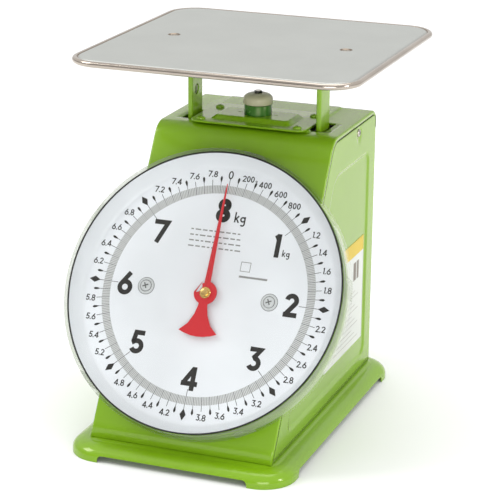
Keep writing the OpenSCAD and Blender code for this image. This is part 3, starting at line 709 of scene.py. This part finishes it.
def build_screw(name, place, head_r, head_h, material, body="root", slot_w=0.24):
    """A pan head with a cross recess. place maps local x, y, z with z out of the head."""
    profile = [(AXIS_R, 0), (head_r, 0), (head_r, head_h * 0.3)]
    profile += [(head_r * cos(a), head_h * (0.3 + 0.7 * sin(a)))
                for a in (radians(12 * i) for i in range(1, 8))]
    profile.append((AXIS_R, head_h))
    screw = lofted(turned(profile, place, 40), name, material, body)
    for turn in (20, 110):
        a = radians(turn)
        along = Vector((cos(a), sin(a)))
        across = Vector((-along.y, along.x)) * head_r * slot_w / 2
        slot = Shape()
        for out in (0.45, 1.6):
            ring = [along * head_r * 0.62 * s + across * t for s, t in ((-1, -1), (1, -1), (1, 1), (-1, 1))]
            slot.points += [tuple(place(p.x, p.y, head_h * out)) for p in ring]
        slot.faces = [(3, 2, 1, 0), (4, 5, 6, 7), (0, 1, 5, 4), (1, 2, 6, 5), (2, 3, 7, 6), (3, 0, 4, 7)]
        cut(screw, slot.make("slot", material, body))
    screw.data.set_sharp_from_angle(angle=radians(35))
    return screw


def join(objects, name):
    """Merges several pieces into one object."""
    bm = bmesh.new()
    for obj in objects:
        bm.from_mesh(obj.data)
    keep = objects[0]
    mesh = bpy.data.meshes.new(name)
    bm.to_mesh(mesh)
    bm.free()
    mesh.materials.append(keep.data.materials[0])
    keep.data = mesh
    keep.name = name
    for obj in objects[1:]:
        bpy.data.objects.remove(obj)
    return keep


def build_cover_plate():
    mid = (plate_lo.y + plate_hi.y) / 2
    z0 = plate_lo.z
    z1 = z0 + 1.6
    top = plate_hi.z
    w = plate_hi.x - plate_lo.x
    d = plate_hi.y - plate_lo.y
    rings = [level(rounded_rect(w - 1, d - 1, 8.5), z0, 0, mid)]
    for a in range(0, 91, 15):
        s, c = sin(radians(a)), cos(radians(a))
        outline = rounded_rect(w - 1.4 + 1.4 * c, d - 1.4 + 1.4 * c, 8.3 + 0.7 * c)
        rings.append(level(outline, z1 - 0.7 + 0.7 * s, 0, mid))
    emboss = 33.0
    block = [(1.3, z1), (0.4, z1 + 0.15), (0, z1 + 0.5), (-3.0, top - 0.5), (-3.5, top - 0.12)]
    block += [(-4.4, top), (-5.2, top), (-6, top)]
    for grow, z in block:
        rings.append(level(rounded_rect(70 + 2 * grow, 36 + 2 * grow, 5 + grow * 0.5), z, 0, emboss))
    plate = lofted(rings, "cover_plate_pressing", green)
    for x in (-15.5, 15.5):
        slit = [level(rounded_rect(4, 1.3, 0.6, 4), z, x, KNOB.y) for z in (top - 1.2, top + 1)]
        # The slit cutter carries the painted-shade copy of the green.
        cut(plate, lofted(slit, "slit", green_painted_shade))
    plate.data.set_sharp_from_angle(angle=radians(35))
    finish_piece(plate, ["top_cover_plate"])


def build_cover_screws():
    seat = plate_lo.z + 1.6
    spots = [(-42, 12.5), (42, 12.5), (-42, 55), (42, 55)]
    heads = [build_screw("head", upright(x, y), 3.7, 2.2, green) for x, y in spots]
    for head in heads:
        raise_by(head, seat)
    finish_piece(join(heads, "cover_screw_heads"), ["cover_screws"])


def build_side_screws():
    heads = []
    for side in (-1, 1):
        def place(x, y, z):
            return Vector((side * (CASE_W - 0.9 + z), SIDE_SCREW.y + x, SIDE_SCREW.z + y * side))

        heads.append(build_screw("head", place, 3.3, 1.8, bright))
    finish_piece(join(heads, "side_screw_heads"), ["side_screws"])


def build_knob():
    place = upright(KNOB.x, KNOB.y)
    cup_r = (cup_hi.x - cup_lo.x) / 2
    wall = [(cup_r - 2, cup_lo.z), (cup_r - 0.3, cup_lo.z), (cup_r, cup_lo.z + 0.3), (cup_r, cup_hi.z - 0.5),
            (cup_r - 0.25, cup_hi.z - 0.1), (cup_r - 0.6, cup_hi.z), (cup_r - 1, cup_hi.z - 0.1),
            (cup_r - 1.2, cup_hi.z - 0.5), (cup_r - 1.2, cup_lo.z + 1.2), (4, cup_lo.z + 1.2), (4, cup_lo.z)]
    turned_piece("knob_cup_turned", wall, place, 64, cup_green, "knob_cup")

    r = (cap_hi.x - cap_lo.x) / 2
    dome = cap_hi.z - 5
    skin = [(2.6, cap_lo.z), (r - 0.9, cap_lo.z), (r - 0.25, cap_lo.z + 0.25), (r, cap_lo.z + 0.9)]
    skin.append((r, dome))
    skin += [(3.4 + (r - 3.4) * cos(a) ** 0.8, dome + 5 * sin(a))
             for a in (radians(9 * i) for i in range(1, 10))]
    skin += [(3.4, cap_hi.z), (2.6, cap_hi.z)]
    turned_piece("zero_cap_moulding", skin, place, 72, ivory, "zero_knob_cap", "zero_knob")

    corners = [pi / 3 * i for i in range(6)]
    rings = [[place(k * 3.6 * cos(a), k * 3.6 * sin(a), cap_hi.z + z) for a in corners]
             for k, z in ((1, 0), (1, 1.5), (0.86, 1.9))]
    nut = lofted(rings, "zero_nut_hex", dark_steel, "zero_knob", sharp=20)
    finish_piece(nut, ["zero_knob_nut"])

    turn = radians(-115)
    out = Vector((cos(turn), sin(turn), 0))
    side = Vector((-out.y, out.x, 0))
    root = Vector((KNOB.x, KNOB.y, cup_lo.z + 3.4)) + out * (cup_r - 0.3)

    def on_cup(x, y, z):
        return root + side * x + Vector((0, 0, y)) + out * z

    seal = build_screw("cup_seal_screw_head", on_cup, 2.9, 1.5, cup_green)
    finish_piece(seal, ["knob_seal_screw"])


# --- posts and pan


POST_HOLE_Z = 264.0


def build_post(side):
    """A channel folded from sheet, open to the back."""
    name = "right" if side > 0 else "left"
    x0, x1 = post_lo.x, post_hi.x
    y0, y1 = post_lo.y, post_hi.y
    r = 1.5
    outer = [(x0, y1)] + arc(x0 + r, y0 + r, r, 180, 270, 6)
    outer += arc(x1 - r, y0 + r, r, 270, 360, 6) + [(x1, y1)]
    inner = [(x1 - SHEET, y1)] + arc(x1 - r, y0 + r, r - SHEET, 360, 270, 6)
    inner += arc(x0 + r, y0 + r, r - SHEET, 270, 180, 6) + [(x0 + SHEET, y1)]
    outline = outer + inner
    heights = spaced(post_lo.z, post_hi.z, 20)
    rings = [[(side * x, y, z) for x, y in outline] for z in heights]
    if side < 0:
        rings.reverse()
    post = lofted(rings, "post_channel_" + name, green, "carrier")
    hole = Shape()
    for x in (x0 - 2, x0 + SHEET + 1):
        hole.points += [(side * x, y, z) for y, z in arc(y0 + 10, POST_HOLE_Z, 4.5, 0, 350, 35)]
    n = 36
    hole.faces = [(i, (i + 1) % n, n + (i + 1) % n, n + i) for i in range(n)]
    hole.faces += [tuple(reversed(range(n))), tuple(range(n, 2 * n))]
    cutter = hole.make("hole", green)
    flip_out(cutter)
    cut(post, cutter)
    post.data.set_sharp_from_angle(angle=radians(35))
    finish_piece(post, ["post_" + name])


def build_pan():
    """A flat sheet, a fine crease and a rolled bead round the edge."""
    w = pan_hi.x - pan_lo.x
    cx = (pan_hi.x + pan_lo.x) / 2
    cy = (pan_hi.y + pan_lo.y) / 2
    top = pan_hi.z
    corner = 27.0
    bead = 2.5

    def loop(inset, z):
        return level(rounded_rect(w - 2 * inset, w - 2 * inset, corner - inset, 16), z, cx, cy)

    centre = bead
    rings = [loop(centre + 12, top - SHEET), loop(centre + 9, top - SHEET), loop(centre + 1.2, top - SHEET)]
    rings += [loop(centre + bead * cos(a), top - bead - bead * sin(a))
              for a in (radians(20 * i) for i in range(2, 9))]
    rings += [loop(centre - bead * cos(a), top - bead + bead * sin(a))
              for a in (radians(15 * i) for i in range(0, 7))]
    crease = ((1.2, 0.3), (1.7, 0.9), (2.3, 0.9), (3.3, 0.05), (4.5, 0), (5.5, 0), (9, 0))
    rings += [loop(centre + inset, top - drop) for inset, drop in crease]
    pan = lofted(rings, "pan_pressing", pan_steel, "carrier", sharp=50)
    pan.data.materials.append(bead_painted_shade_steel)
    pan.data.materials.append(crease_painted_shade_steel)
    for x in (-PAN_SCREW_X, PAN_SCREW_X):
        profile = [(AXIS_R, top + 1), (6.0, top + 1), (5.3, top), (4.1, top - 0.9), (AXIS_R, top - 0.9)]
        cutter = lofted(turned(profile, upright(x, KNOB.y), 40), "dimple", pan_steel)
        flip_out(cutter)
        cut(pan, cutter)
    pan.data.set_sharp_from_angle(angle=radians(24))
    for face in pan.data.polygons:
        mid = face.center / MM
        past_x = abs(mid.x - cx) - (w / 2 - corner)
        past_y = abs(mid.y - cy) - (w / 2 - corner)
        inset = corner - (hypot(past_x, past_y) if min(past_x, past_y) > 0 else max(past_x, past_y))
        lowered = mid.z < top - 0.02
        # Faces in the crease and in the screw dishes take the dark brown copy of the steel: painted shade.
        on_crease = bead + 1.3 < inset < bead + 2.4 and mid.z > top - bead / 2
        in_dish = hypot(abs(mid.x) - PAN_SCREW_X, mid.y - KNOB.y) < 7 and mid.z > top - SHEET + 0.1
        # Faces on the rolled bead take the darker brown copy of the steel: painted shade.
        face.material_index = 2 if lowered and (on_crease or in_dish) else int(lowered and inset < bead * 2)
    finish_piece(pan, ["pan"])
    heads = []
    for x in (-PAN_SCREW_X, PAN_SCREW_X):
        head = build_screw("head", upright(x, KNOB.y), 3.3, 0.8, pan_screw_steel, "carrier")
        raise_by(head, top - 0.95)
        heads.append(head)
    finish_piece(join(heads, "pan_screw_heads"), ["pan_screws"])


# --- dial


def build_back_dish():
    inner = DISH_R - SHEET
    profile = [(5, 0), (DISH_R - 1, 0), (DISH_R - 0.3, 0.3), (DISH_R, 1), (DISH_R, 6.2), (DISH_R - 0.6, 6.5),
               (inner, 6.2), (inner, 2), (inner - 0.6, SHEET), (5, SHEET)]
    turned_piece("dial_back_dish", profile, on_dial, 160, green, "dial_back_plate")


def build_dial_plate():
    profile = [(5, FACE_H), (60, FACE_H), (DISH_FLOOR_R - 4, FACE_H)]
    profile += [(DISH_FLOOR_R - 4 + 5 * sin(a), FACE_H + 5 - 5 * cos(a))
                for a in (radians(10 * i) for i in range(1, 6))]
    profile += [(DISH_R - 1.8, RIM_H - 2.2), (DISH_R - 1.1, RIM_H - 0.5), (DISH_R - 0.6, RIM_H),
                (DISH_R - 0.2, RIM_H - 0.5), (DISH_R - 0.8, RIM_H - 3), (DISH_FLOOR_R, FACE_H + 1),
                (DISH_FLOOR_R - 5, FACE_H - 0.8), (5, FACE_H - 0.8)]
    turned_piece("dial_dish", profile, on_dial, 192, dial_white, "dial_plate")


def build_seal_ring():
    r0, r1 = DISH_R - 0.7, DISH_R + 0.5
    profile = [(r0, RIM_H + 0.1), (r1, RIM_H + 0.1), (r1, RIM_H + 0.7), (r1 - 0.4, RIM_H + 1.0),
               (r0 + 0.4, RIM_H + 1.0), (r0, RIM_H + 0.7)]
    turned_piece("seal_ring_moulding", profile, on_dial, 192, black_rubber, "dial_seal_ring")


def build_cover():
    shoulder = 2.6
    wall = 2.0
    z = COVER_H - shoulder
    outer = [(COVER_R, 0.3)] + [(COVER_R, h) for h in (6.0, 12.0, z)]
    outer += arc(COVER_R - shoulder, z, shoulder, 10, 85, 8)
    outer += [(80, COVER_H + 0.35), (40, COVER_H + 0.6), (AXIS_R, COVER_H + 0.7)]
    inner = [(AXIS_R, COVER_H - 1.3), (40, COVER_H - 1.4), (80, COVER_H - 1.65)]
    inner += arc(COVER_R - shoulder, z, shoulder - wall, 85, 10, 4)
    inner += [(COVER_R - wall, h) for h in (z, 12.0, 6.0, 0.3)]
    shape = Shape()
    shape.loft(turned(outer + inner, on_dial, 192, closed=True), cap=(False, False))
    for patch in range(5):
        mid = 81 - 72 * patch
        for k in range(-4, 5):
            a = radians(mid + k * 0.95)
            rings = []
            for h in (3.0, 3.4, z - 1.2, z - 0.8):
                lift = 0.0 if h in (3.0, z - 0.8) else 0.55
                bump = ((-0.005, 0), (-0.003, 0.9), (0, 1), (0.003, 0.9), (0.005, 0))
                polar = [(COVER_R - 0.1 + lift * q, a + p) for p, q in bump]
                rings.append([on_dial(r * cos(t), r * sin(t), h) for r, t in polar])
            shape.loft(rings)
    cover = shape.make("dial_cover_moulding", acrylic)
    finish_piece(cover, ["dial_cover"])


# Strokes of the figures, in a box one unit high: each stroke is a list of points on its middle line


def oval(cx, cy, rx, ry):
    return [(cx + rx * cos(t), cy + ry * sin(t)) for t in (pi * i / 16 for i in range(33))]


def figure(char, w):
    """(strokes, advance) of a figure drawn with a pen of width w."""
    a = w / 2
    if char == "0":
        return [oval(0.30, 0.5, 0.30 - a, 0.5 - a)], 0.60
    if char == "1":
        return [[(0.17, 0), (0.17, 1)], [(0.18, 1 - a * 0.9), (0.02, 0.86 - a * 0.5)]], 0.17 + a
    if char == "2":
        r = 0.305 - a
        return [arc(0.305, 0.695, r, 172, -36, 18) + [(a * 1.1, a)], [(0.02, a), (0.61, a)]], 0.61
    if char == "3":
        r = 0.315 - a
        bowl = arc(0.27, 0.315, r, 78, -152, 20)
        return [[(0.03, 1 - a), (0.50, 1 - a), (0.27, 0.63 - a * 0.4)] + bowl], 0.59
    if char == "4":
        bar, stem = [(0.0, 0.29), (0.72, 0.29)], [(0.50, 0), (0.50, 1)]
        return [[(0.49, 1 - a * 0.5), (0.10, 0.30)], bar, stem], 0.72
    if char == "5":
        r = 0.325 - a
        return [[(0.56, 1 - a), (0.17, 1 - a), (0.11, 0.54)] + arc(0.27, 0.325, r, 128, -152, 20)], 0.60
    if char == "6":
        r = 0.335 - a
        touch = (0.345 + r * cos(radians(150)), 0.335 + r * sin(radians(150)))
        return [oval(0.345, 0.335, r, r), [touch, (0.50, 1 - a * 0.2)]], 0.68
    if char == "7":
        return [[(0.0, 1 - a), (0.60, 1 - a), (0.22, 0)]], 0.68
    if char == "8":
        return [oval(0.32, 0.745, 0.29 - a, 0.265 - a * 0.8), oval(0.32, 0.30, 0.32 - a, 0.30 - a)], 0.64
    if char == ".":
        return [[(0.07, 0), (0.07, w * 1.15)]], 0.16
    if char == "k":
        return [[(a, 0), (a, 1)], [(0.42, 0.64), (a, 0.28)], [(0.17, 0.40), (0.45, 0)]], 0.48
    ring = arc(0.27, 0.34, 0.27 - a, 0, 360, 24)
    tail = [(0.54 - a, 0.62), (0.54 - a, -0.06)] + arc(0.29, -0.08, 0.25 - a, 0, -150, 10)
    return [ring, tail], 0.6


def ribbon(shape, line, w, out):
    """A flat stroke of width w along a line on the dial."""
    if len(line) > 2 and math.dist(line[0], line[-1]) < 1e-6:
        line = line + [line[1]]
    left, right = [], []
    for i, p in enumerate(line):
        before = Vector(line[max(0, i - 1)])
        after = Vector(line[min(len(line) - 1, i + 1)])
        here = Vector(p)
        a = (here - before).normalized() if i else (after - here).normalized()
        b = (after - here).normalized() if i < len(line) - 1 else a
        mitre = (a + b).normalized()
        side = Vector((-mitre.y, mitre.x)) * (w / 2) / max(0.5, mitre.dot(b))
        left.append(on_dial(*(here + side), out))
        right.append(on_dial(*(here - side), out))
    n = len(line)
    shape.add(left + right, [(i, n + i, n + i + 1, i + 1) for i in range(n - 1)])


FIGURE_GAP = 0.09


def write(shape, text, x, y, height, weight, out):
    """Writes figures centred on a point of the dial."""
    parts = [figure(c, weight) for c in text]
    total = sum(p[1] for p in parts) + FIGURE_GAP * (len(parts) - 1)
    pen = -total / 2
    for k, (strokes, advance) in enumerate(parts):
        for j, stroke in enumerate(strokes):
            line = [(x + (pen + px) * height, y + (py - 0.5) * height) for px, py in stroke]
            ribbon(shape, line, weight * height, out + 0.006 * (j + k % 2))
        pen += advance + FIGURE_GAP


CAPACITY = 8
INK_OUT = FACE_H + 0.04
BAND = (83.2, 89.9)


def radial(turn):
    """Unit vectors along a radius of the dial and across it."""
    a = radians(turn)
    return Vector((sin(a), cos(a))), Vector((cos(a), -sin(a)))


def spoke(shape, turn, r0, r1, w0, w1, out):
    """A straight mark along a radius, w0 wide at r0 and w1 at r1."""
    along, side = radial(turn)
    corners = [along * r0 + side * w0 / 2, along * r1 + side * w1 / 2,
               along * r1 - side * w1 / 2, along * r0 - side * w0 / 2]
    shape.add([on_dial(p.x, p.y, out) for p in corners], [(0, 3, 2, 1)])


def lozenge(shape, turn, r0, r_mid, r1, w, out, n=6):
    """A drop or a diamond along a radius, widest at r_mid. n = 1 gives straight sides."""
    along, side = radial(turn)
    half = []
    for i in range(n + 1):
        t = i / n
        half.append((r0 + (r_mid - r0) * t, w / 2 * (sin(pi / 2 * t) if n > 1 else t)))
    for i in range(1, n + 1):
        t = i / n
        half.append((r_mid + (r1 - r_mid) * t, w / 2 * (cos(pi / 2 * t) if n > 1 else 1 - t)))
    ring = [along * r + side * s for r, s in half] + [along * r - side * s for r, s in reversed(half[1:-1])]
    shape.add([on_dial(p.x, p.y, out) for p in ring], [tuple(reversed(range(len(ring))))])


def build_printing():
    turns = [2 * pi * i / 256 for i in range(256)]
    rings = [[on_dial(r * sin(t), r * cos(t), INK_OUT) for t in turns] for r in BAND]
    finish_piece(lofted(rings, "dial_band_print", ink_grey, cap=(False, False)))

    marks = Shape()
    fine = Shape()
    per_kg = 50
    for i in range(CAPACITY * per_kg):
        turn = 360 * i / (CAPACITY * per_kg)
        if i % per_kg == 0 and i:
            spoke(marks, turn, 77.5, 96, 0.42, 0.42, INK_OUT + 0.05)
            lozenge(marks, turn, 93.2, 98, 102.8, 5.2, INK_OUT + 0.06, 1)
        elif i % (per_kg // 5) == 0:
            spoke(marks, turn, BAND[0], 94.7 if i else 96, 0.42, 0.42, INK_OUT + 0.05)
        elif i % (per_kg // 10) == 0:
            spoke(marks, turn, BAND[0], 93.5, 0.40, 0.34, INK_OUT + 0.05)
            lozenge(marks, turn, 92.0, 96.2, 97.9, 1.9, INK_OUT + 0.06)
        else:
            spoke(fine, turn, BAND[0], BAND[1], 0.42, 0.46, INK_OUT + 0.03)
    finish_piece(fine.make("dial_fine_marks", ink_pale))

    for kg in range(1, CAPACITY + 1):
        turn = radians(45 * kg)
        reach_x, reach_y = (70.8, 46.1) if kg % 2 else (71.0, 69.0)
        x, y = reach_x * sin(turn), reach_y * round(cos(turn))
        weight = 0.25 if kg == CAPACITY else 0.205
        write(marks, str(kg), x, y, 19.2, weight, INK_OUT + 0.05)
    write(marks, "kg", 15.2, 65.0, 8.6, 0.14, INK_OUT + 0.05)
    write(marks, "kg", 58.8, 40.6, 5.6, 0.14, INK_OUT + 0.05)
    for step in range(CAPACITY * 5):
        if step % 5 == 0 and step:
            continue
        turn = radians(9 * step)
        text = str(step * 200) if step < 5 else "%.1f" % (step * 0.2)
        r = 99.6 if step > 4 else 98.6
        x, y = r * sin(turn), r * cos(turn)
        if step == 0:
            write(marks, "0", x, y + 0.4, 6.9, 0.15, INK_OUT + 0.05)
        else:
            write(marks, text, x, y, 5.1, 0.165, INK_OUT + 0.05)
        if step == 1:
            write(marks, "g", x + 7.0, y - 0.9, 2.9, 0.14, INK_OUT + 0.05)
    finish_piece(marks.make("dial_marks", ink))

    rules = Shape()
    for row in range(4):
        y = 51.5 - row * 4.6
        x = -24.5
        for k in range(9):
            length = 2.2 + 2.6 * ((row * 5 + k * 7) % 4) / 3
            ribbon(rules, [(x, y), (x + length, y)], 1.1, INK_OUT + 0.03)
            x += length + 1.5
    box = [(23.5, 29.5), (31.5, 29.5), (31.5, 22.0), (23.5, 22.0), (23.5, 29.5)]
    ribbon(rules, box, 0.5, INK_OUT + 0.03)
    ribbon(rules, [(23.5, 17.5), (47.5, 17.5)], 1.6, INK_OUT + 0.03)
    finish_piece(rules.make("dial_ruled_lines", ink_pale))


def build_dial_screws():
    heads = []
    thick = 0.8
    for cx in (-DIAL_SCREW_X, DIAL_SCREW_X):
        profile = [(AXIS_R, 0), (6.6, 0), (6.6, 0.5), (6.2, thick), (AXIS_R, thick)]
        rings = turned(profile, lambda x, y, z: on_dial(cx + x, y, FACE_H + z), 48)
        heads.append(lofted(rings, "washer", screw_white))
        heads.append(build_screw("head", lambda x, y, z: on_dial(cx + x, y, FACE_H + thick + z), 4.3, 1.5,
                                 screw_white, slot_w=0.2))
    finish_piece(join(heads, "dial_screw_heads"), ["dial_screws"])
    # Dark rings round each washer and head, and dark strips over the cross recess: painted shade.
    shade_lines = Shape()
    turns = [pi * i / 24 for i in range(48)]
    for cx in (-DIAL_SCREW_X, DIAL_SCREW_X):
        for r, out in ((6.7, FACE_H + 0.06), (4.45, FACE_H + 0.86)):
            edges = [[on_dial(cx + q * cos(t), q * sin(t), out) for t in turns] for q in (r, r + 0.42)]
            shade_lines.loft(edges, cap=(False, False))
        for turn in (25, 115):
            u, v = 2.5 * cos(radians(turn)), 2.5 * sin(radians(turn))
            ribbon(shade_lines, [(cx - u, -v), (cx + u, v)], 0.9, FACE_H + 2.36)
    finish_piece(shade_lines.make("dial_screw_painted_shade_lines", screw_painted_shade))


def build_pointer():
    base = POINTER_H
    needle = Shape()
    rings = []
    for r, w in ((4, 2.6), (30, 2.0), (60, 1.25), (85, 0.62), (90.5, 0.2)):
        rings.append([on_dial(-w, r, base), on_dial(w, r, base), on_dial(w, r, base + 0.5),
                      on_dial(0, r, base + 0.5 + w * 0.35), on_dial(-w, r, base + 0.5)])
    needle.loft(rings)
    hub = [(9.6 * cos(a), 9.6 * sin(a)) for a in (radians(t) for t in range(80, -245, -6))]
    hub = [p for p in hub if math.dist(p, (-7.4, 3.9)) > 5.0 or p[1] < 0]
    notch = arc(-8.0, 4.4, 4.6, -95, 35, 10)
    outline = hub + notch
    neck = [(-3.6, -7.5), (-3.9, -11), (-5.6, -18), (-9.6, -26), (-16.2, -32.2)]
    sole = [(x, -32.2 - 3.6 * cos(pi * x / 34)) for x in (-11, -5.5, 0, 5.5, 11)]
    tail = neck + sole + [(-x, y) for x, y in reversed(neck)]
    for outline, lift in ((outline, 0.0), (tail, 0.05)):
        needle.loft([[on_dial(x, y, base + lift + h) for x, y in outline] for h in (0.0, 0.8)])
    body = needle.make("pointer_pressing", red, "pointer_train")
    flip_out(body)
    finish_piece(body, ["pointer"])

    steps = ((AXIS_R, 0.7), (4.6, 0.7), (4.6, 1.6), (4.2, 2.0), (3.1, 2.1), (3.1, 4.0), (2.7, 4.5), (1.6, 4.7),
             (1.4, 5.1), (AXIS_R, 5.2))
    profile = [(r, base + h) for r, h in steps]
    boss = lofted(turned(profile, on_dial, 48), "pointer_boss_turned", brass, "pointer_train")
    finish_piece(boss, ["pointer_boss"])


# --- label and springs


def build_label():
    x = CASE_W - FIELD_DEPTH + 0.12
    band = label_hi.z - 13

    def bar(shape, y0, y1, z0, z1, low, high):
        outline = [(y0, z0), (y1, z0), (y1, z1), (y0, z1)]
        shape.loft([[(x + t, y, z) for y, z in outline] for t in (low, high)])

    sheets = [("label_sheet", label_lo.z, band, label_white, ["side_label"])]
    sheets.append(("label_band", band, label_hi.z, label_yellow, ()))
    for name, z0, z1, material, nodes in sheets:
        shape = Shape()
        bar(shape, label_lo.y, label_hi.y, z0, z1, 0, 0.15)
        finish_piece(shape.make(name, material), nodes)
    rules = Shape()
    rows = 11
    for k in range(rows):
        z = label_lo.z + 6 + k * 4.2
        bar(rules, label_lo.y + 8, label_hi.y - 12 - 8 * (k % 3), z, z + 0.35, 0.1, 0.2)
    for near, far in ((26, 19), (17, 12)):
        bar(rules, label_hi.y - near, label_hi.y - far, band - 22, band - 6, 0.1, 0.2)
    finish_piece(rules.make("label_rules", label_ink))


def build_springs():
    """Close coils with a hook at each end, bent between the frame and the carrier."""
    turns = 22
    steps = 14
    coil_r = 8.5
    wire_r = 1.2
    apart = 24.0
    low = bar_hi.z - 3.6
    high = hanger_lo.z + 4.0
    z0, z1 = spring_lo.z + 22, spring_hi.z - 20
    for side, name in ((-1, "left"), (1, "right")):
        cx = side * apart
        cy = KNOB.y
        path = [(0, -3.7, low + 3), (0, -3.7, low + 1.2), (0, -2.6, low), (0, 0, low - 0.2), (0, 2.6, low)]
        path += [(0, 3.7, low + 1.2), (0, 3.7, low + 4), (0, 3, z0 - 6), (5, 1, z0 - 2)]
        n = turns * steps
        for i in range(n + 1):
            a = 2 * pi * i / steps
            path.append((coil_r * cos(a), coil_r * sin(a), z0 + (z1 - z0) * i / n))
        path += [(5, 1, z1 + 2), (0, 3, z1 + 6), (0, 3.7, high - 4), (0, 3.7, high - 1.2), (0, 2.6, high)]
        path += [(0, 0, high + 0.2), (0, -2.6, high), (0, -3.7, high - 1.2), (0, -3.7, high - 3)]
        points = [Vector((cx + x, cy + y, z)) for x, y, z in path]
        wire_turns = [pi / 4 * k for k in range(8)]
        rings = []
        for i, p in enumerate(points):
            ahead = (points[min(i + 1, len(points) - 1)] - points[max(0, i - 1)]).normalized()
            ref = Vector((0, 1, 0)) if abs(ahead.z) > 0.9 else Vector((0, 0, 1))
            u = ahead.cross(ref).normalized()
            v = ahead.cross(u)
            rings.append([p + (u * cos(t) + v * sin(t)) * wire_r for t in wire_turns])
        spring = lofted(rings, "main_spring_wire_" + name, wire_steel)
        del spring["body"]
        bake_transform(spring)
        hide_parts("main_spring_" + name)


# --- stage, light and camera


def build_stage():
    floor = bpy.data.meshes.new("floor")
    size = 9.0
    corners = [(-size, -size, 0), (size, -size, 0), (size, size, 0), (-size, size, 0)]
    floor.from_pydata(corners, [], [(0, 1, 2, 3)])
    obj = new_object("floor", floor)
    look = Look("floor_paper", (0.92, 0.92, 0.92), 0.9, Specular_IOR_Level=0.1)
    look.tone(look.noise(3.0), (0.91, 0.91, 0.91), (0.93, 0.93, 0.93))
    floor.materials.append(look.material)


def area_light(name, place, target, size, power):
    data = bpy.data.lights.new(name, "AREA")
    data.shape = "RECTANGLE"
    data.size, data.size_y = size
    data.energy = power
    obj = new_object(name, data)
    obj.location = place
    direction = Vector(target) - Vector(place)
    obj.rotation_euler = direction.to_track_quat("-Z", "Y").to_euler()


def build_lights():
    world = bpy.data.worlds.new("studio")
    bpy.context.scene.world = world
    world.use_nodes = True
    tree = world.node_tree
    sky = tree.nodes["Background"]
    sky.inputs["Color"].default_value = (1.0, 1.0, 1.0, 1)
    facing = tree.nodes.new("ShaderNodeVectorMath")
    facing.operation = "DOT_PRODUCT"
    facing.inputs[1].default_value = (0.0, 0.35, 0.8)
    tree.links.new(tree.nodes.new("ShaderNodeTexCoord").outputs["Generated"], facing.inputs[0])
    level_of = tree.nodes.new("ShaderNodeMapRange")
    for key, value in (("From Min", -0.35), ("From Max", 0.45), ("To Min", 0.22), ("To Max", 0.92)):
        level_of.inputs[key].default_value = value
    tree.links.new(facing.outputs["Value"], level_of.inputs["Value"])
    tree.links.new(level_of.outputs["Result"], sky.inputs["Strength"])
    middle = (0, 0, 0.15)
    area_light("key_light", (-2.3, -1.1, 2.5), middle, (1.4, 1.4), 40)
    area_light("edge_light", (2.2, -0.45, 0.95), middle, (0.35, 0.8), 12)
    area_light("front_light", (1.0, -2.5, 0.55), middle, (1.6, 1.0), 24)
    area_light("top_light", (0.0, 0.6, 2.8), middle, (2.0, 2.0), 26)


CAMERA_AZ = 20.72
CAMERA_EL = 17.98
CAMERA_ROLL = 0.63
CAMERA_DISTANCE_M = 1.6663
CAMERA_TARGET_M = Vector((0.002, 0.01355, 0.1358))
FOCAL_LENGTH = 143.9


def build_camera():
    az, el, roll = (radians(a) for a in (CAMERA_AZ, CAMERA_EL, CAMERA_ROLL))
    back = Vector((sin(az) * cos(el), -cos(az) * cos(el), sin(el)))
    right = Vector((0, 0, 1)).cross(back).normalized()
    up = back.cross(right)
    side = right * cos(roll) + up * sin(roll)
    rise = up * cos(roll) - right * sin(roll)
    data = bpy.data.cameras.new("camera")
    data.lens = FOCAL_LENGTH
    data.sensor_width = 36.0
    data.clip_end = 50.0
    camera = new_object("camera", data)
    place = CAMERA_TARGET_M + back * CAMERA_DISTANCE_M
    camera.matrix_world = Matrix((*zip(side, rise, back, place), (0, 0, 0, 1)))
    bpy.context.scene.camera = camera


bpy.context.scene.view_settings.view_transform = "Standard"
build_camera()
dress_cad_nodes()
build_tray()
build_case_front()
for side in (1, -1):
    build_side_panel(side)
build_cover_plate()
build_cover_screws()
build_side_screws()
build_knob()
for side in (1, -1):
    build_post(side)
for build in (build_pan, build_back_dish, build_dial_plate, build_seal_ring, build_cover, build_printing,
              build_dial_screws, build_pointer, build_label, build_springs, build_stage, build_lights):
    build()
